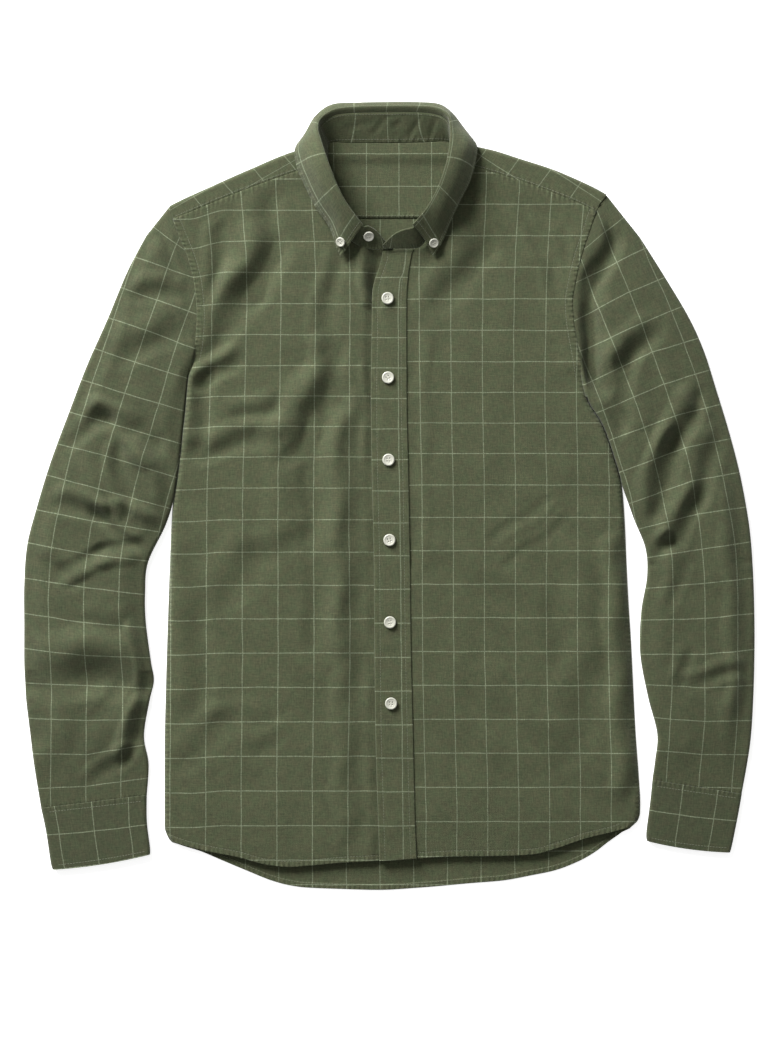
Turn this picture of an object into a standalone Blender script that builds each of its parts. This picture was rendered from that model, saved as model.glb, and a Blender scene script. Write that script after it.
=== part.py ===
"""A long-sleeved button-down shirt in checked poplin, laid out flat on a table, front side up.

Everything is worked out in a layout of the table top: x runs to the right from the button line and y
up from the lowest point of the back hem to the collar, both in layout units of 1.04 mm, and z is the
height above the table in millimetres. place() moves the layout to the part's own frame, in metres, with
the origin at the middle of the shirt's footprint. "Left" and "right" are as the shirt is seen from above.
"""

import math
from collections import namedtuple

import bmesh
import bpy
from mathutils import Matrix, Vector

MM = 0.001
LAYOUT_UNIT = 1.04  # millimetres; it sets the size of the shirt
FOOTPRINT_MIDDLE = (-0.24, 393.05)  # the layout point that becomes the origin

CLOTH = 1.3  # thickness of one layer of cloth
CUFF_CLOTH = 1.6  # cuffs and collar are two plies with an interlining
COLLAR_CLOTH = 1.4
SEAM_GAP = 0.3  # between two pieces at a seam
LAYER_GAP = 0.4  # between two pieces that lie on each other

BODY_RISE = 7.0  # height of the fronts' upper side over the table
HEM_RISE = 5.8
ARMHOLE_RISE = 9.0
YOKE_RISE = 8.2
SIDE_ROLL = 7.0  # width over which a folded side rounds down to the table
SLEEVE_RISE = 11.0
CUFF_RISE = 6.6
LOWEST_FRONT = 3.4  # a trough in a front stays clear of the back

OVERLAP_DROP = 2.1  # how far the under front dips below the one that laps over it
TABLE_CLEARANCE = 0.45
SIDE_INSET = 4.8  # from a folded side in to the back's edge
ARMHOLE_GAP = 0.9
ARMPIT_CLIMB = 36.0  # lengths over which one height goes over into another
ARMHOLE_BLEND = 26.0
HEM_CLIMB = 45.0
YOKE_CLIMB = 30.0
EDGE_CLIMB = 26.0
EDGE_HEIGHT = 7.0  # height of a sleeve just inside its folded edges
LOWEST_SLEEVE = 4.8
DROP_WIDTH = 9.0
PLACKET_SAG = 0.5
PLACKET_TOP_Y = 639.5

ROLL_STEPS = (0.0, 0.5, 1.7, 3.9, 7.0)  # distances from a folded side where a front has a column
YOKE_SHARE = 0.66  # the share of a front's columns that end at the yoke; the rest end at the neck
YOKE_COLUMNS = 9
NECK_COLUMNS = 8
FRONT_ROWS = 21
BACK_ROWS = 27
BACK_COLUMNS = 9
NECK_SHARE = 0.36
YOKE_SIDE_COLUMNS = 9
YOKE_BACK_ROWS = 6
YOKE_FOLD_ROWS = 4
YOKE_FRONT_ROWS = 3
LIFT_START_X = 78.0
LIFT_WIDTH = 26.0
LIFT_CLIMB = 12.0
PLACKET_ROWS = 19
PLACKET_COLUMNS = 4
RING_BOTTOM = 7
RING_TOP = 12
EDGE_TURNS = (-0.25 * math.pi, 0.0, 0.25 * math.pi)
SLEEVE_RINGS = 27
GATHER_STATIONS = 3.0  # stations over which a sleeve flattens towards its cuff
CUFF_RINGS = 5
CUFF_BOW = 2.3  # how far the middle of a cuff's lower edge hangs below its ends
STAND_STEPS = 42
LAP_X = 14.0  # the under front's edge, hidden below the placket

BUTTON_RADIUS = 5.8
COLLAR_BUTTON_RADIUS = 5.0
BUTTON_THICKNESS = 2.4
BUTTON_STEPS = 16
# A button's section from the top of its dish out over the rim to its flat underside, in shares of the
# radius and of the thickness.
BUTTON_PROFILE = ((0.0, 0.66), (0.58, 0.66), (0.7, 1.0), (0.86, 1.0), (1.0, 0.55), (0.86, 0.0), (0.0, 0.0))
MERGE_DISTANCE = 0.00001

GREEN = (0.095, 0.104, 0.061, 1.0)
BUTTON_WHITE = (0.78, 0.77, 0.70, 1.0)

Edge = namedtuple("Edge", "y x")
Line = namedtuple("Line", "x y")
Fold = namedtuple("Fold", "x0 y0 x1 y1 half_width rise")
Station = namedtuple("Station", "outer_x outer_y inner_x inner_y")
CollarStation = namedtuple(
    "CollarStation", "base_x base_y base_z crest_x crest_y crest_z out_x out_y out_z edge_x edge_y edge_z"
)
StandEnd = namedtuple("StandEnd", "base_x base_y base_z top_x top_y top_z")
ButtonSpot = namedtuple("ButtonSpot", "x y")

# The body's left outline, from the shoulder tip down the armhole to the armpit, then down the side.
LEFT_SHOULDER_Y = 681.4
LEFT_ARMPIT_Y = 512.0
LEFT_OUTLINE = (
    Edge(y=686.0, x=-221.5),
    Edge(y=681.4, x=-220.4),
    Edge(y=656.0, x=-211.4),
    Edge(y=630.4, x=-201.2),
    Edge(y=605.0, x=-195.0),
    Edge(y=574.0, x=-192.3),
    Edge(y=549.0, x=-193.6),
    Edge(y=523.0, x=-198.7),
    Edge(y=512.0, x=-202.0),
    Edge(y=474.0, x=-205.5),
    Edge(y=421.0, x=-211.4),
    Edge(y=379.0, x=-217.2),
    Edge(y=289.0, x=-221.0),
    Edge(y=189.0, x=-224.0),
    Edge(y=139.0, x=-225.0),
    Edge(y=62.0, x=-225.0),
    Edge(y=56.6, x=-223.6),
    Edge(y=50.0, x=-220.4),
    Edge(y=46.0, x=-217.0),
)
RIGHT_SHOULDER_Y = 693.0
RIGHT_ARMPIT_Y = 491.0
RIGHT_OUTLINE = (
    Edge(y=698.0, x=219.0),
    Edge(y=693.0, x=217.0),
    Edge(y=684.0, x=210.0),
    Edge(y=661.6, x=201.7),
    Edge(y=628.0, x=191.0),
    Edge(y=606.0, x=186.0),
    Edge(y=586.0, x=183.0),
    Edge(y=569.0, x=184.0),
    Edge(y=533.0, x=190.0),
    Edge(y=491.0, x=198.0),
    Edge(y=464.0, x=213.4),
    Edge(y=437.0, x=223.3),
    Edge(y=401.0, x=232.8),
    Edge(y=359.0, x=235.8),
    Edge(y=329.0, x=237.0),
    Edge(y=289.0, x=239.0),
    Edge(y=249.0, x=241.5),
    Edge(y=209.0, x=243.5),
    Edge(y=159.0, x=246.0),
    Edge(y=109.0, x=249.6),
    Edge(y=86.0, x=250.8),
    Edge(y=76.0, x=250.6),
    Edge(y=69.0, x=248.5),
    Edge(y=63.0, x=243.0),
    Edge(y=58.0, x=238.0),
)

FRONT_HEM = (
    Line(x=-225.0, y=51.0),
    Line(x=-204.0, y=43.6),
    Line(x=-179.0, y=37.6),
    Line(x=-150.0, y=32.0),
    Line(x=-124.0, y=25.0),
    Line(x=-101.0, y=22.5),
    Line(x=-78.0, y=24.0),
    Line(x=-44.0, y=27.0),
    Line(x=-11.0, y=28.5),
    Line(x=28.0, y=31.0),
    Line(x=64.0, y=33.0),
    Line(x=112.0, y=33.5),
    Line(x=143.0, y=35.0),
    Line(x=168.0, y=41.5),
    Line(x=196.0, y=51.0),
    Line(x=224.0, y=58.0),
    Line(x=250.0, y=69.0),
)
BACK_HEM = (
    Line(x=-225.0, y=50.0),
    Line(x=-204.0, y=42.5),
    Line(x=-190.5, y=38.5),
    Line(x=-166.5, y=28.5),
    Line(x=-142.5, y=18.5),
    Line(x=-117.5, y=8.5),
    Line(x=-100.0, y=3.8),
    Line(x=-84.0, y=1.6),
    Line(x=-51.0, y=0.2),
    Line(x=-11.0, y=-0.8),
    Line(x=32.0, y=1.6),
    Line(x=82.0, y=6.0),
    Line(x=112.5, y=8.5),
    Line(x=143.0, y=14.0),
    Line(x=164.5, y=18.5),
    Line(x=190.5, y=28.5),
    Line(x=207.5, y=38.5),
    Line(x=217.0, y=46.0),
    Line(x=227.0, y=53.0),
    Line(x=250.0, y=70.0),
)

# The yoke folds over at the shoulder and ends in a seam on the front; its back seam shows inside.
SHOULDER_FOLD = (
    Line(x=-222.0, y=681.0),
    Line(x=-217.0, y=684.0),
    Line(x=-207.0, y=689.0),
    Line(x=-185.0, y=699.0),
    Line(x=-140.0, y=719.0),
    Line(x=-94.0, y=737.5),
    Line(x=-80.0, y=740.5),
    Line(x=-64.0, y=742.5),
    Line(x=62.0, y=743.5),
    Line(x=82.0, y=742.3),
    Line(x=100.5, y=739.0),
    Line(x=131.5, y=729.4),
    Line(x=162.5, y=719.4),
    Line(x=186.5, y=709.4),
    Line(x=207.5, y=699.4),
    Line(x=216.0, y=694.4),
    Line(x=220.0, y=691.4),
)
YOKE_FRONT_LEFT = (
    Line(x=-216.0, y=669.0),
    Line(x=-148.0, y=697.0),
    Line(x=-91.0, y=717.5),
    Line(x=-66.0, y=725.0),
)
YOKE_FRONT_RIGHT = (
    Line(x=66.0, y=726.0),
    Line(x=80.6, y=722.0),
    Line(x=126.5, y=708.5),
    Line(x=165.0, y=694.5),
    Line(x=188.0, y=685.3),
    Line(x=206.0, y=676.0),
)
YOKE_BACK_Y = 670.5
NECK_LEFT_X = -66.0
NECK_RIGHT_X = 66.0
NECK_BACK = (
    Line(x=-66.0, y=738.0),
    Line(x=-60.0, y=740.4),
    Line(x=-55.0, y=744.2),
    Line(x=-50.0, y=745.6),
    Line(x=0.0, y=745.8),
    Line(x=38.0, y=746.6),
    Line(x=51.0, y=746.4),
    Line(x=56.0, y=744.4),
    Line(x=60.0, y=741.2),
    Line(x=66.0, y=738.0),
)
NECK_BACK_SPREAD = (-0.88, -0.77, -0.5, 0.0, 0.5, 0.77, 0.88)  # columns of the yoke between its corners
NECK_LIFT = 2.6  # the yoke's back rises over the collar leaf that is tucked under it
LIFT_START_Y = 722.0
NECK_LEFT = (
    Line(x=-66.0, y=725.0),
    Line(x=-63.0, y=711.0),
    Line(x=-60.5, y=695.0),
    Line(x=-54.5, y=678.0),
    Line(x=-46.5, y=660.0),
    Line(x=-35.0, y=647.0),
    Line(x=-23.0, y=642.0),
    Line(x=14.0, y=640.5),
)
NECK_RIGHT = (
    Line(x=-7.0, y=640.5),
    Line(x=8.0, y=641.2),
    Line(x=26.0, y=644.0),
    Line(x=34.0, y=650.0),
    Line(x=43.0, y=662.0),
    Line(x=54.0, y=683.0),
    Line(x=60.0, y=698.5),
    Line(x=63.0, y=712.5),
    Line(x=66.0, y=726.0),
)

PLACKET_LEFT = (
    Edge(y=640.0, x=-7.0),
    Edge(y=632.0, x=-7.5),
    Edge(y=621.0, x=-10.5),
    Edge(y=609.0, x=-14.5),
    Edge(y=597.0, x=-17.0),
    Edge(y=554.0, x=-17.8),
    Edge(y=489.0, x=-18.5),
    Edge(y=409.0, x=-17.5),
    Edge(y=325.0, x=-15.6),
    Edge(y=241.0, x=-15.0),
    Edge(y=157.0, x=-14.0),
    Edge(y=64.0, x=-11.2),
    Edge(y=25.0, x=-10.0),
)
PLACKET_RIGHT = (
    Edge(y=640.0, x=24.0),
    Edge(y=630.0, x=21.5),
    Edge(y=611.0, x=18.6),
    Edge(y=586.0, x=17.2),
    Edge(y=486.0, x=17.5),
    Edge(y=419.0, x=19.0),
    Edge(y=329.0, x=20.5),
    Edge(y=249.0, x=21.5),
    Edge(y=159.0, x=23.5),
    Edge(y=59.0, x=26.0),
    Edge(y=25.0, x=27.5),
)

# Sleeves, a station for each row across, from just below the armhole to the cuff.
LEFT_SLEEVE = (
    Station(outer_x=-243.0, outer_y=653.0, inner_x=-204.0, inner_y=499.0),
    Station(outer_x=-262.0, outer_y=617.0, inner_x=-205.0, inner_y=487.0),
    Station(outer_x=-282.0, outer_y=569.0, inner_x=-206.5, inner_y=474.0),
    Station(outer_x=-302.0, outer_y=524.0, inner_x=-209.0, inner_y=456.0),
    Station(outer_x=-320.0, outer_y=477.0, inner_x=-213.0, inner_y=432.0),
    Station(outer_x=-338.5, outer_y=427.0, inner_x=-216.4, inner_y=394.0),
    Station(outer_x=-352.3, outer_y=382.0, inner_x=-223.5, inner_y=364.0),
    Station(outer_x=-362.0, outer_y=344.0, inner_x=-241.0, inner_y=327.0),
    Station(outer_x=-365.0, outer_y=304.0, inner_x=-244.0, inner_y=296.0),
    Station(outer_x=-365.0, outer_y=264.0, inner_x=-243.3, inner_y=267.0),
    Station(outer_x=-365.0, outer_y=229.0, inner_x=-238.4, inner_y=229.0),
    Station(outer_x=-364.3, outer_y=209.0, inner_x=-235.4, inner_y=209.0),
    Station(outer_x=-363.0, outer_y=189.0, inner_x=-239.5, inner_y=189.0),
    Station(outer_x=-358.3, outer_y=149.0, inner_x=-245.2, inner_y=154.0),
    Station(outer_x=-354.0, outer_y=117.0, inner_x=-240.6, inner_y=126.0),
    Station(outer_x=-348.3, outer_y=82.0, inner_x=-242.4, inner_y=95.0),
)
RIGHT_SLEEVE = (
    Station(outer_x=250.0, outer_y=651.5, inner_x=201.0, inner_y=486.0),
    Station(outer_x=274.6, outer_y=612.5, inner_x=205.0, inner_y=479.0),
    Station(outer_x=299.2, outer_y=571.0, inner_x=211.0, inner_y=469.0),
    Station(outer_x=314.4, outer_y=537.0, inner_x=217.0, inner_y=455.0),
    Station(outer_x=326.8, outer_y=498.0, inner_x=224.0, inner_y=435.0),
    Station(outer_x=338.7, outer_y=459.0, inner_x=231.0, inner_y=410.0),
    Station(outer_x=349.2, outer_y=419.0, inner_x=238.0, inner_y=387.0),
    Station(outer_x=357.0, outer_y=379.0, inner_x=244.8, inner_y=368.0),
    Station(outer_x=361.0, outer_y=349.0, inner_x=255.5, inner_y=341.0),
    Station(outer_x=363.4, outer_y=313.0, inner_x=257.2, inner_y=313.0),
    Station(outer_x=364.6, outer_y=272.0, inner_x=251.3, inner_y=277.0),
    Station(outer_x=364.6, outer_y=232.0, inner_x=250.3, inner_y=236.0),
    Station(outer_x=363.5, outer_y=192.0, inner_x=258.0, inner_y=193.0),
    Station(outer_x=361.2, outer_y=154.0, inner_x=267.3, inner_y=156.0),
    Station(outer_x=357.4, outer_y=126.0, inner_x=265.4, inner_y=130.0),
    Station(outer_x=352.0, outer_y=96.0, inner_x=262.7, inner_y=110.0),
)
LEFT_CUFF = (
    Station(outer_x=-348.2, outer_y=81.6, inner_x=-242.4, inner_y=94.6),
    Station(outer_x=-343.2, outer_y=58.0, inner_x=-242.3, inner_y=68.0),
    Station(outer_x=-338.5, outer_y=27.0, inner_x=-239.2, inner_y=42.0),
    Station(outer_x=-336.4, outer_y=19.8, inner_x=-239.2, inner_y=34.9),
)
RIGHT_CUFF = (
    Station(outer_x=352.0, outer_y=95.6, inner_x=262.6, inner_y=109.6),
    Station(outer_x=348.6, outer_y=76.0, inner_x=260.3, inner_y=87.0),
    Station(outer_x=342.6, outer_y=46.0, inner_x=256.5, inner_y=57.0),
    Station(outer_x=340.2, outer_y=37.0, inner_x=257.2, inner_y=48.4),
)

BODY_FOLDS = (
    Fold(x0=-123, y0=689, x1=-177, y1=564, half_width=17, rise=-2.4),
    Fold(x0=-152, y0=672, x1=-186, y1=600, half_width=15, rise=1.6),
    Fold(x0=-104, y0=674, x1=-146, y1=556, half_width=19, rise=1.6),
    Fold(x0=-184, y0=508, x1=-192, y1=440, half_width=13, rise=-2.2),
    Fold(x0=-176, y0=436, x1=-103, y1=462, half_width=14, rise=-1.9),
    Fold(x0=-172, y0=456, x1=-104, y1=484, half_width=13, rise=1.1),
    Fold(x0=-63, y0=516, x1=-97, y1=436, half_width=15, rise=-1.8),
    Fold(x0=-65, y0=489, x1=-63, y1=95, half_width=17, rise=1.5),
    Fold(x0=-43, y0=489, x1=-42, y1=99, half_width=13, rise=-1.1),
    Fold(x0=-163, y0=333, x1=-103, y1=349, half_width=12, rise=-1.2),
    Fold(x0=-70, y0=656, x1=-70, y1=560, half_width=13, rise=-1.6),
    Fold(x0=163, y0=662, x1=180, y1=600, half_width=11, rise=-1.3),
    Fold(x0=183, y0=396, x1=143, y1=336, half_width=13, rise=1.3),
    Fold(x0=190, y0=350, x1=150, y1=310, half_width=11, rise=-1.0),
    Fold(x0=170, y0=300, x1=180, y1=90, half_width=22, rise=1.2),
    Fold(x0=60, y0=160, x1=120, y1=130, half_width=16, rise=-0.9),
)
LEFT_SLEEVE_FOLDS = (
    Fold(x0=-310, y0=468, x1=-263, y1=462, half_width=13, rise=-3.6),
    Fold(x0=-263, y0=462, x1=-219, y1=412, half_width=12, rise=-3.6),
    Fold(x0=-300, y0=436, x1=-246, y1=420, half_width=15, rise=2.4),
    Fold(x0=-325, y0=392, x1=-252, y1=358, half_width=12, rise=-3.8),
    Fold(x0=-300, y0=342, x1=-256, y1=338, half_width=14, rise=2.4),
    Fold(x0=-346, y0=212, x1=-252, y1=222, half_width=15, rise=-3.2),
    Fold(x0=-335, y0=247, x1=-260, y1=250, half_width=15, rise=1.6),
    Fold(x0=-250, y0=176, x1=-297, y1=114, half_width=11, rise=-4.0),
    Fold(x0=-270, y0=190, x1=-308, y1=134, half_width=14, rise=2.0),
    Fold(x0=-247, y0=604, x1=-217, y1=600, half_width=13, rise=-1.8),
)
RIGHT_SLEEVE_FOLDS = (
    Fold(x0=214, y0=671, x1=224, y1=640, half_width=9, rise=-2.4),
    Fold(x0=205, y0=625, x1=196, y1=560, half_width=12, rise=-4.2),
    Fold(x0=197, y0=560, x1=205, y1=505, half_width=12, rise=-4.2),
    Fold(x0=243, y0=549, x1=219, y1=492, half_width=11, rise=-3.6),
    Fold(x0=262, y0=540, x1=240, y1=470, half_width=12, rise=2.2),
    Fold(x0=288, y0=502, x1=252, y1=392, half_width=11, rise=-4.6),
    Fold(x0=302, y0=486, x1=266, y1=376, half_width=10, rise=2.2),
    Fold(x0=316, y0=462, x1=272, y1=348, half_width=11, rise=-4.4),
    Fold(x0=275, y0=222, x1=338, y1=224, half_width=12, rise=-2.4),
    Fold(x0=280, y0=244, x1=338, y1=246, half_width=12, rise=1.4),
)

# The collar, from the left front end round the back of the neck to the right front end. The stand runs
# up from base to the seam just inside the crest; the leaf rolls over the crest and falls to its edge.
COLLAR = (
    CollarStation(-33, 645.5, 10.0, -27.0, 661.0, 24.0, -37.0, 647.5, 19.0, -48.3, 631.0, 11.4),
    CollarStation(-40, 651.0, 10.0, -34.0, 670.0, 27.5, -43.5, 657.0, 22.0, -53.0, 641.5, 11.4),
    CollarStation(-49, 664.0, 9.6, -44.0, 684.5, 31.0, -52.5, 675.0, 26.0, -59.5, 660.5, 11.4),
    CollarStation(-56, 681.0, 9.4, -52.0, 699.5, 33.0, -62.0, 691.0, 28.0, -73.5, 681.0, 11.2),
    CollarStation(-60.5, 697.0, 9.3, -58.5, 715.0, 34.0, -71.0, 709.0, 28.5, -84.5, 703.0, 11.0),
    CollarStation(-62.5, 713.0, 9.0, -64.0, 730.0, 33.0, -78.0, 727.0, 27.0, -92.0, 721.0, 10.8),
    CollarStation(-62.0, 728.0, 6.8, -69.0, 745.0, 29.5, -84.0, 744.0, 21.0, -94.0, 738.5, 10.8),
    CollarStation(-59.0, 740.0, 5.2, -72.0, 757.5, 23.0, -81.5, 757.5, 13.0, -85.5, 750.5, 2.6),
    CollarStation(-52.0, 746.0, 3.3, -69.0, 768.5, 16.0, -73.6, 770.8, 8.0, -70.0, 752.0, 0.7),
    CollarStation(-38.0, 747.0, 3.3, -54.5, 778.0, 9.0, -56.5, 780.6, 4.4, -46.0, 741.0, 0.7),
    CollarStation(-22.0, 747.2, 3.3, -30.0, 780.5, 6.6, -30.0, 781.6, 3.6, -24.0, 737.5, 0.7),
    CollarStation(-2.0, 747.2, 3.3, -3.0, 781.0, 6.4, -3.0, 782.0, 3.6, -2.0, 736.5, 0.7),
    CollarStation(20.0, 747.4, 3.3, 27.0, 781.0, 6.6, 27.0, 782.0, 3.6, 22.0, 737.0, 0.7),
    CollarStation(38.0, 748.0, 3.3, 47.5, 778.6, 9.0, 49.5, 780.6, 4.4, 44.0, 740.0, 0.7),
    CollarStation(52.0, 747.6, 3.3, 58.5, 771.0, 16.0, 63.3, 773.0, 8.0, 65.0, 752.0, 0.7),
    CollarStation(60.0, 741.5, 5.2, 61.0, 759.0, 23.0, 71.8, 761.5, 13.0, 78.5, 752.0, 2.6),
    CollarStation(62.5, 729.0, 6.8, 61.0, 746.0, 29.5, 77.0, 748.0, 21.0, 86.5, 742.0, 10.8),
    CollarStation(63.0, 713.5, 9.0, 59.0, 731.0, 33.0, 73.5, 732.0, 27.5, 86.0, 728.0, 10.8),
    CollarStation(60.5, 698.5, 9.3, 55.0, 715.0, 34.0, 68.0, 711.0, 28.5, 80.0, 706.0, 11.0),
    CollarStation(55.5, 684.0, 9.4, 49.5, 700.0, 33.0, 60.5, 693.0, 27.5, 70.5, 687.0, 11.2),
    CollarStation(48.0, 667.0, 9.6, 42.5, 686.0, 31.0, 51.5, 677.0, 26.0, 61.5, 667.5, 11.4),
    CollarStation(38.0, 653.5, 10.4, 33.0, 671.5, 28.0, 43.0, 659.5, 22.5, 53.5, 648.0, 11.4),
    CollarStation(30.0, 645.5, 11.0, 23.7, 661.0, 25.0, 34.0, 648.5, 19.5, 44.0, 631.5, 11.4),
)
# Past the leaf's ends the stand runs on alone to its rounded tips, the right one over the left.
LEFT_STAND_END = (
    StandEnd(base_x=3.0, base_y=640.6, base_z=9.2, top_x=1.0, top_y=643.0, top_z=10.4),
    StandEnd(base_x=-5.0, base_y=639.6, base_z=9.2, top_x=-5.0, top_y=648.0, top_z=13.0),
    StandEnd(base_x=-15.0, base_y=640.0, base_z=9.2, top_x=-13.0, top_y=656.5, top_z=17.5),
    StandEnd(base_x=-25.0, base_y=641.8, base_z=9.4, top_x=-21.0, top_y=661.0, top_z=21.0),
)
RIGHT_STAND_END = (
    StandEnd(base_x=21.0, base_y=642.0, base_z=11.0, top_x=14.5, top_y=657.5, top_z=23.0),
    StandEnd(base_x=10.0, base_y=640.8, base_z=11.4, top_x=6.0, top_y=654.0, top_z=20.0),
    StandEnd(base_x=1.0, base_y=640.2, base_z=11.6, top_x=-1.0, top_y=648.5, top_z=16.5),
    StandEnd(base_x=-6.0, base_y=640.4, base_z=11.8, top_x=-6.8, top_y=642.6, top_z=13.2),
)
ROLL_DEPTH = 6.5  # from the crest down to the seam between leaf and stand
LEAF_PLACES = (0.0, 0.5, 1.0, 1.35, 1.7, 2.0, 2.33, 2.67, 3.0)
STAND_ROWS = 4
COLLAR_STEPS = 56

FRONT_BUTTONS = (
    ButtonSpot(x=-2.0, y=590.0),
    ButtonSpot(x=-1.5, y=511.0),
    ButtonSpot(x=-1.0, y=429.0),
    ButtonSpot(x=0.0, y=349.0),
    ButtonSpot(x=0.5, y=267.0),
    ButtonSpot(x=1.5, y=186.0),
)
LEFT_POINT_BUTTON = ButtonSpot(x=-48.0, y=646.0)
RIGHT_POINT_BUTTON = ButtonSpot(x=43.7, y=645.0)
STAND_BUTTON = ButtonSpot(x=-20.7, y=652.0)


# ---------------------------------------------------------------- curves and heights


def place(x, y, z):
    """A layout point in the part's frame."""
    unit = LAYOUT_UNIT * MM
    return Vector(((x - FOOTPRINT_MIDDLE[0]) * unit, (y - FOOTPRINT_MIDDLE[1]) * unit, z * MM))


def mix(a, b, share):
    return a + (b - a) * share


def mix_point(a, b, share):
    return tuple(mix(p, q, share) for p, q in zip(a, b))


def spread(start, end, count):
    return [mix(start, end, i / (count - 1)) for i in range(count)]


def ease(share):
    """A smooth step from 0 to 1."""
    share = min(1.0, max(0.0, share))
    return share * share * (3.0 - 2.0 * share)


def through(knots, values, at):
    """The value at a place on a smooth curve through knots that doesn't overshoot them."""
    if knots[0] > knots[-1]:
        knots, values = knots[::-1], values[::-1]
    if at <= knots[0]:
        return values[0]
    if at >= knots[-1]:
        return values[-1]
    i = next(k for k in range(len(knots) - 1) if at <= knots[k + 1])
    slopes = [(values[k + 1] - values[k]) / (knots[k + 1] - knots[k]) for k in range(len(knots) - 1)]

    def tangent(k):
        if k == 0:
            return slopes[0]
        if k == len(slopes):
            return slopes[-1]
        before, after = slopes[k - 1], slopes[k]
        return 0.0 if before * after <= 0 else 2.0 * before * after / (before + after)

    width = knots[i + 1] - knots[i]
    t = (at - knots[i]) / width
    start, end = values[i], values[i + 1]
    pull = (t**3 - 2 * t**2 + t) * tangent(i) + (t**3 - t**2) * tangent(i + 1)
    return start * (2 * t**3 - 3 * t**2 + 1) + end * (3 * t**2 - 2 * t**3) + pull * width


def edge_x(outline, y):
    return through([e.y for e in outline], [e.x for e in outline], y)


def line_y(line, x):
    return through([p.x for p in line], [p.y for p in line], x)


def rows_at(table, position):
    """A row of numbers between the rows of a table, on a smooth curve through them."""
    last = len(table) - 1
    i = min(int(position), last - 1)
    t = position - i
    before, start, end, after = (table[min(last, max(0, i + k))] for k in (-1, 0, 1, 2))
    return [
        b + 0.5 * t * (c - a + t * (2 * a - 5 * b + 4 * c - d + t * (3 * (b - c) + d - a)))
        for a, b, c, d in zip(before, start, end, after)
    ]


def relief(folds, x, y):
    """How far the folds lift or sink the cloth at a point."""
    total = 0.0
    for f in folds:
        along_x, along_y = f.x1 - f.x0, f.y1 - f.y0
        t = ((x - f.x0) * along_x + (y - f.y0) * along_y) / (along_x**2 + along_y**2)
        t = min(1.0, max(0.0, t))
        away = math.hypot(x - f.x0 - t * along_x, y - f.y0 - t * along_y) / f.half_width
        if away < 1.0:
            total += f.rise * (1.0 - away**2) ** 2
    return total


def rounded(distance, width):
    """The share of its full height that rolled cloth has at a distance from its folded edge."""
    share = min(1.0, max(0.0, distance / width))
    return math.sqrt(1.0 - (1.0 - share) ** 2)


def side_of(left):
    if left:
        return LEFT_OUTLINE, LEFT_SHOULDER_Y, LEFT_ARMPIT_Y
    return RIGHT_OUTLINE, RIGHT_SHOULDER_Y, RIGHT_ARMPIT_Y


def armhole_height(y, armpit_y):
    """Height of the cloth's upper side along an armhole; at the armpit it comes down to the table."""
    return mix(TABLE_CLEARANCE, ARMHOLE_RISE, ease((y - armpit_y) / ARMPIT_CLIMB))


def body_height(x, y):
    """Height of the fronts' upper side away from their folded sides."""
    rise = BODY_RISE + relief(BODY_FOLDS, x, y)
    rise = mix(HEM_RISE, rise, ease((y - line_y(FRONT_HEM, x)) / HEM_CLIMB))
    yoke_seam = line_y(YOKE_FRONT_LEFT if x < 0 else YOKE_FRONT_RIGHT, x)
    beside_neck = abs(x) < NECK_RIGHT_X
    near_yoke = 0.0 if beside_neck else 1.0 - ease((yoke_seam - y) / YOKE_CLIMB)
    return max(LOWEST_FRONT, mix(rise, YOKE_RISE, near_yoke))


def front_height(x, y, left):
    """Height of a front's upper side, with its armhole and its folded side."""
    outline, _, armpit_y = side_of(left)
    distance = abs(x - edge_x(outline, y))
    edge = armhole_height(y, armpit_y)
    inside = mix(max(edge, LOWEST_FRONT), body_height(x, y), ease(distance / ARMHOLE_BLEND))
    if y < armpit_y + ARMPIT_CLIMB:
        away_from_pit = ease((y - armpit_y) / ARMPIT_CLIMB)
        inside = mix(body_height(x, y), inside, away_from_pit)
    return mix(edge, inside, rounded(distance, SIDE_ROLL))


# ---------------------------------------------------------------- making objects


def material(name, color, roughness):
    made = bpy.data.materials.new(name)
    made.use_nodes = True
    surface = made.node_tree.nodes["Principled BSDF"]
    surface.inputs["Base Color"].default_value = color
    surface.inputs["Roughness"].default_value = roughness
    return made


def add_object(name, mesh, look):
    mesh.materials.append(look)
    mesh.shade_smooth()
    made = bpy.data.objects.new(name, mesh)
    bpy.data.collections["shirt"].objects.link(made)
    return made


def cloth_object(name, grid, look, thickness, offset, closed=False):
    """A wall of cloth on a grid of layout points, in which None leaves a hole. An offset of -1 puts the
    wall behind the grid's faces and 0 puts it half to each side."""
    shape = bmesh.new()
    points = [[p and shape.verts.new(place(*p)) for p in row] for row in grid]
    columns = len(grid[0])
    for lower, upper in zip(points, points[1:]):
        for j in range(columns if closed else columns - 1):
            k = (j + 1) % columns
            corners = (lower[j], lower[k], upper[k], upper[j])
            if None not in corners:
                shape.faces.new(corners)
    for vertex in [v for v in shape.verts if not v.link_faces]:
        shape.verts.remove(vertex)
    mesh = bpy.data.meshes.new(name)
    shape.to_mesh(mesh)
    shape.free()
    made = add_object(name, mesh, look)
    wall = made.modifiers.new("cloth", "SOLIDIFY")
    wall.thickness = thickness * MM
    wall.offset = offset
    wall.use_quality_normals = True
    return made


# ---------------------------------------------------------------- fronts, back, yoke and placket


def front_top(left, share):
    """The point of a front's upper edge, along the yoke seam and on round the neck."""
    seam, neck = (YOKE_FRONT_LEFT, NECK_LEFT) if left else (YOKE_FRONT_RIGHT, NECK_RIGHT)
    side_x, corner_x = (seam[0].x, NECK_LEFT_X) if left else (seam[-1].x, NECK_RIGHT_X)
    centre_x = LAP_X if left else PLACKET_LEFT[0].x
    if share < YOKE_SHARE:
        x = mix(side_x, corner_x, share / YOKE_SHARE)
        return x, line_y(seam, x) - SEAM_GAP
    x = mix(corner_x, centre_x, (share - YOKE_SHARE) / (1.0 - YOKE_SHARE))
    return x, line_y(neck, x) - SEAM_GAP


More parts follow.
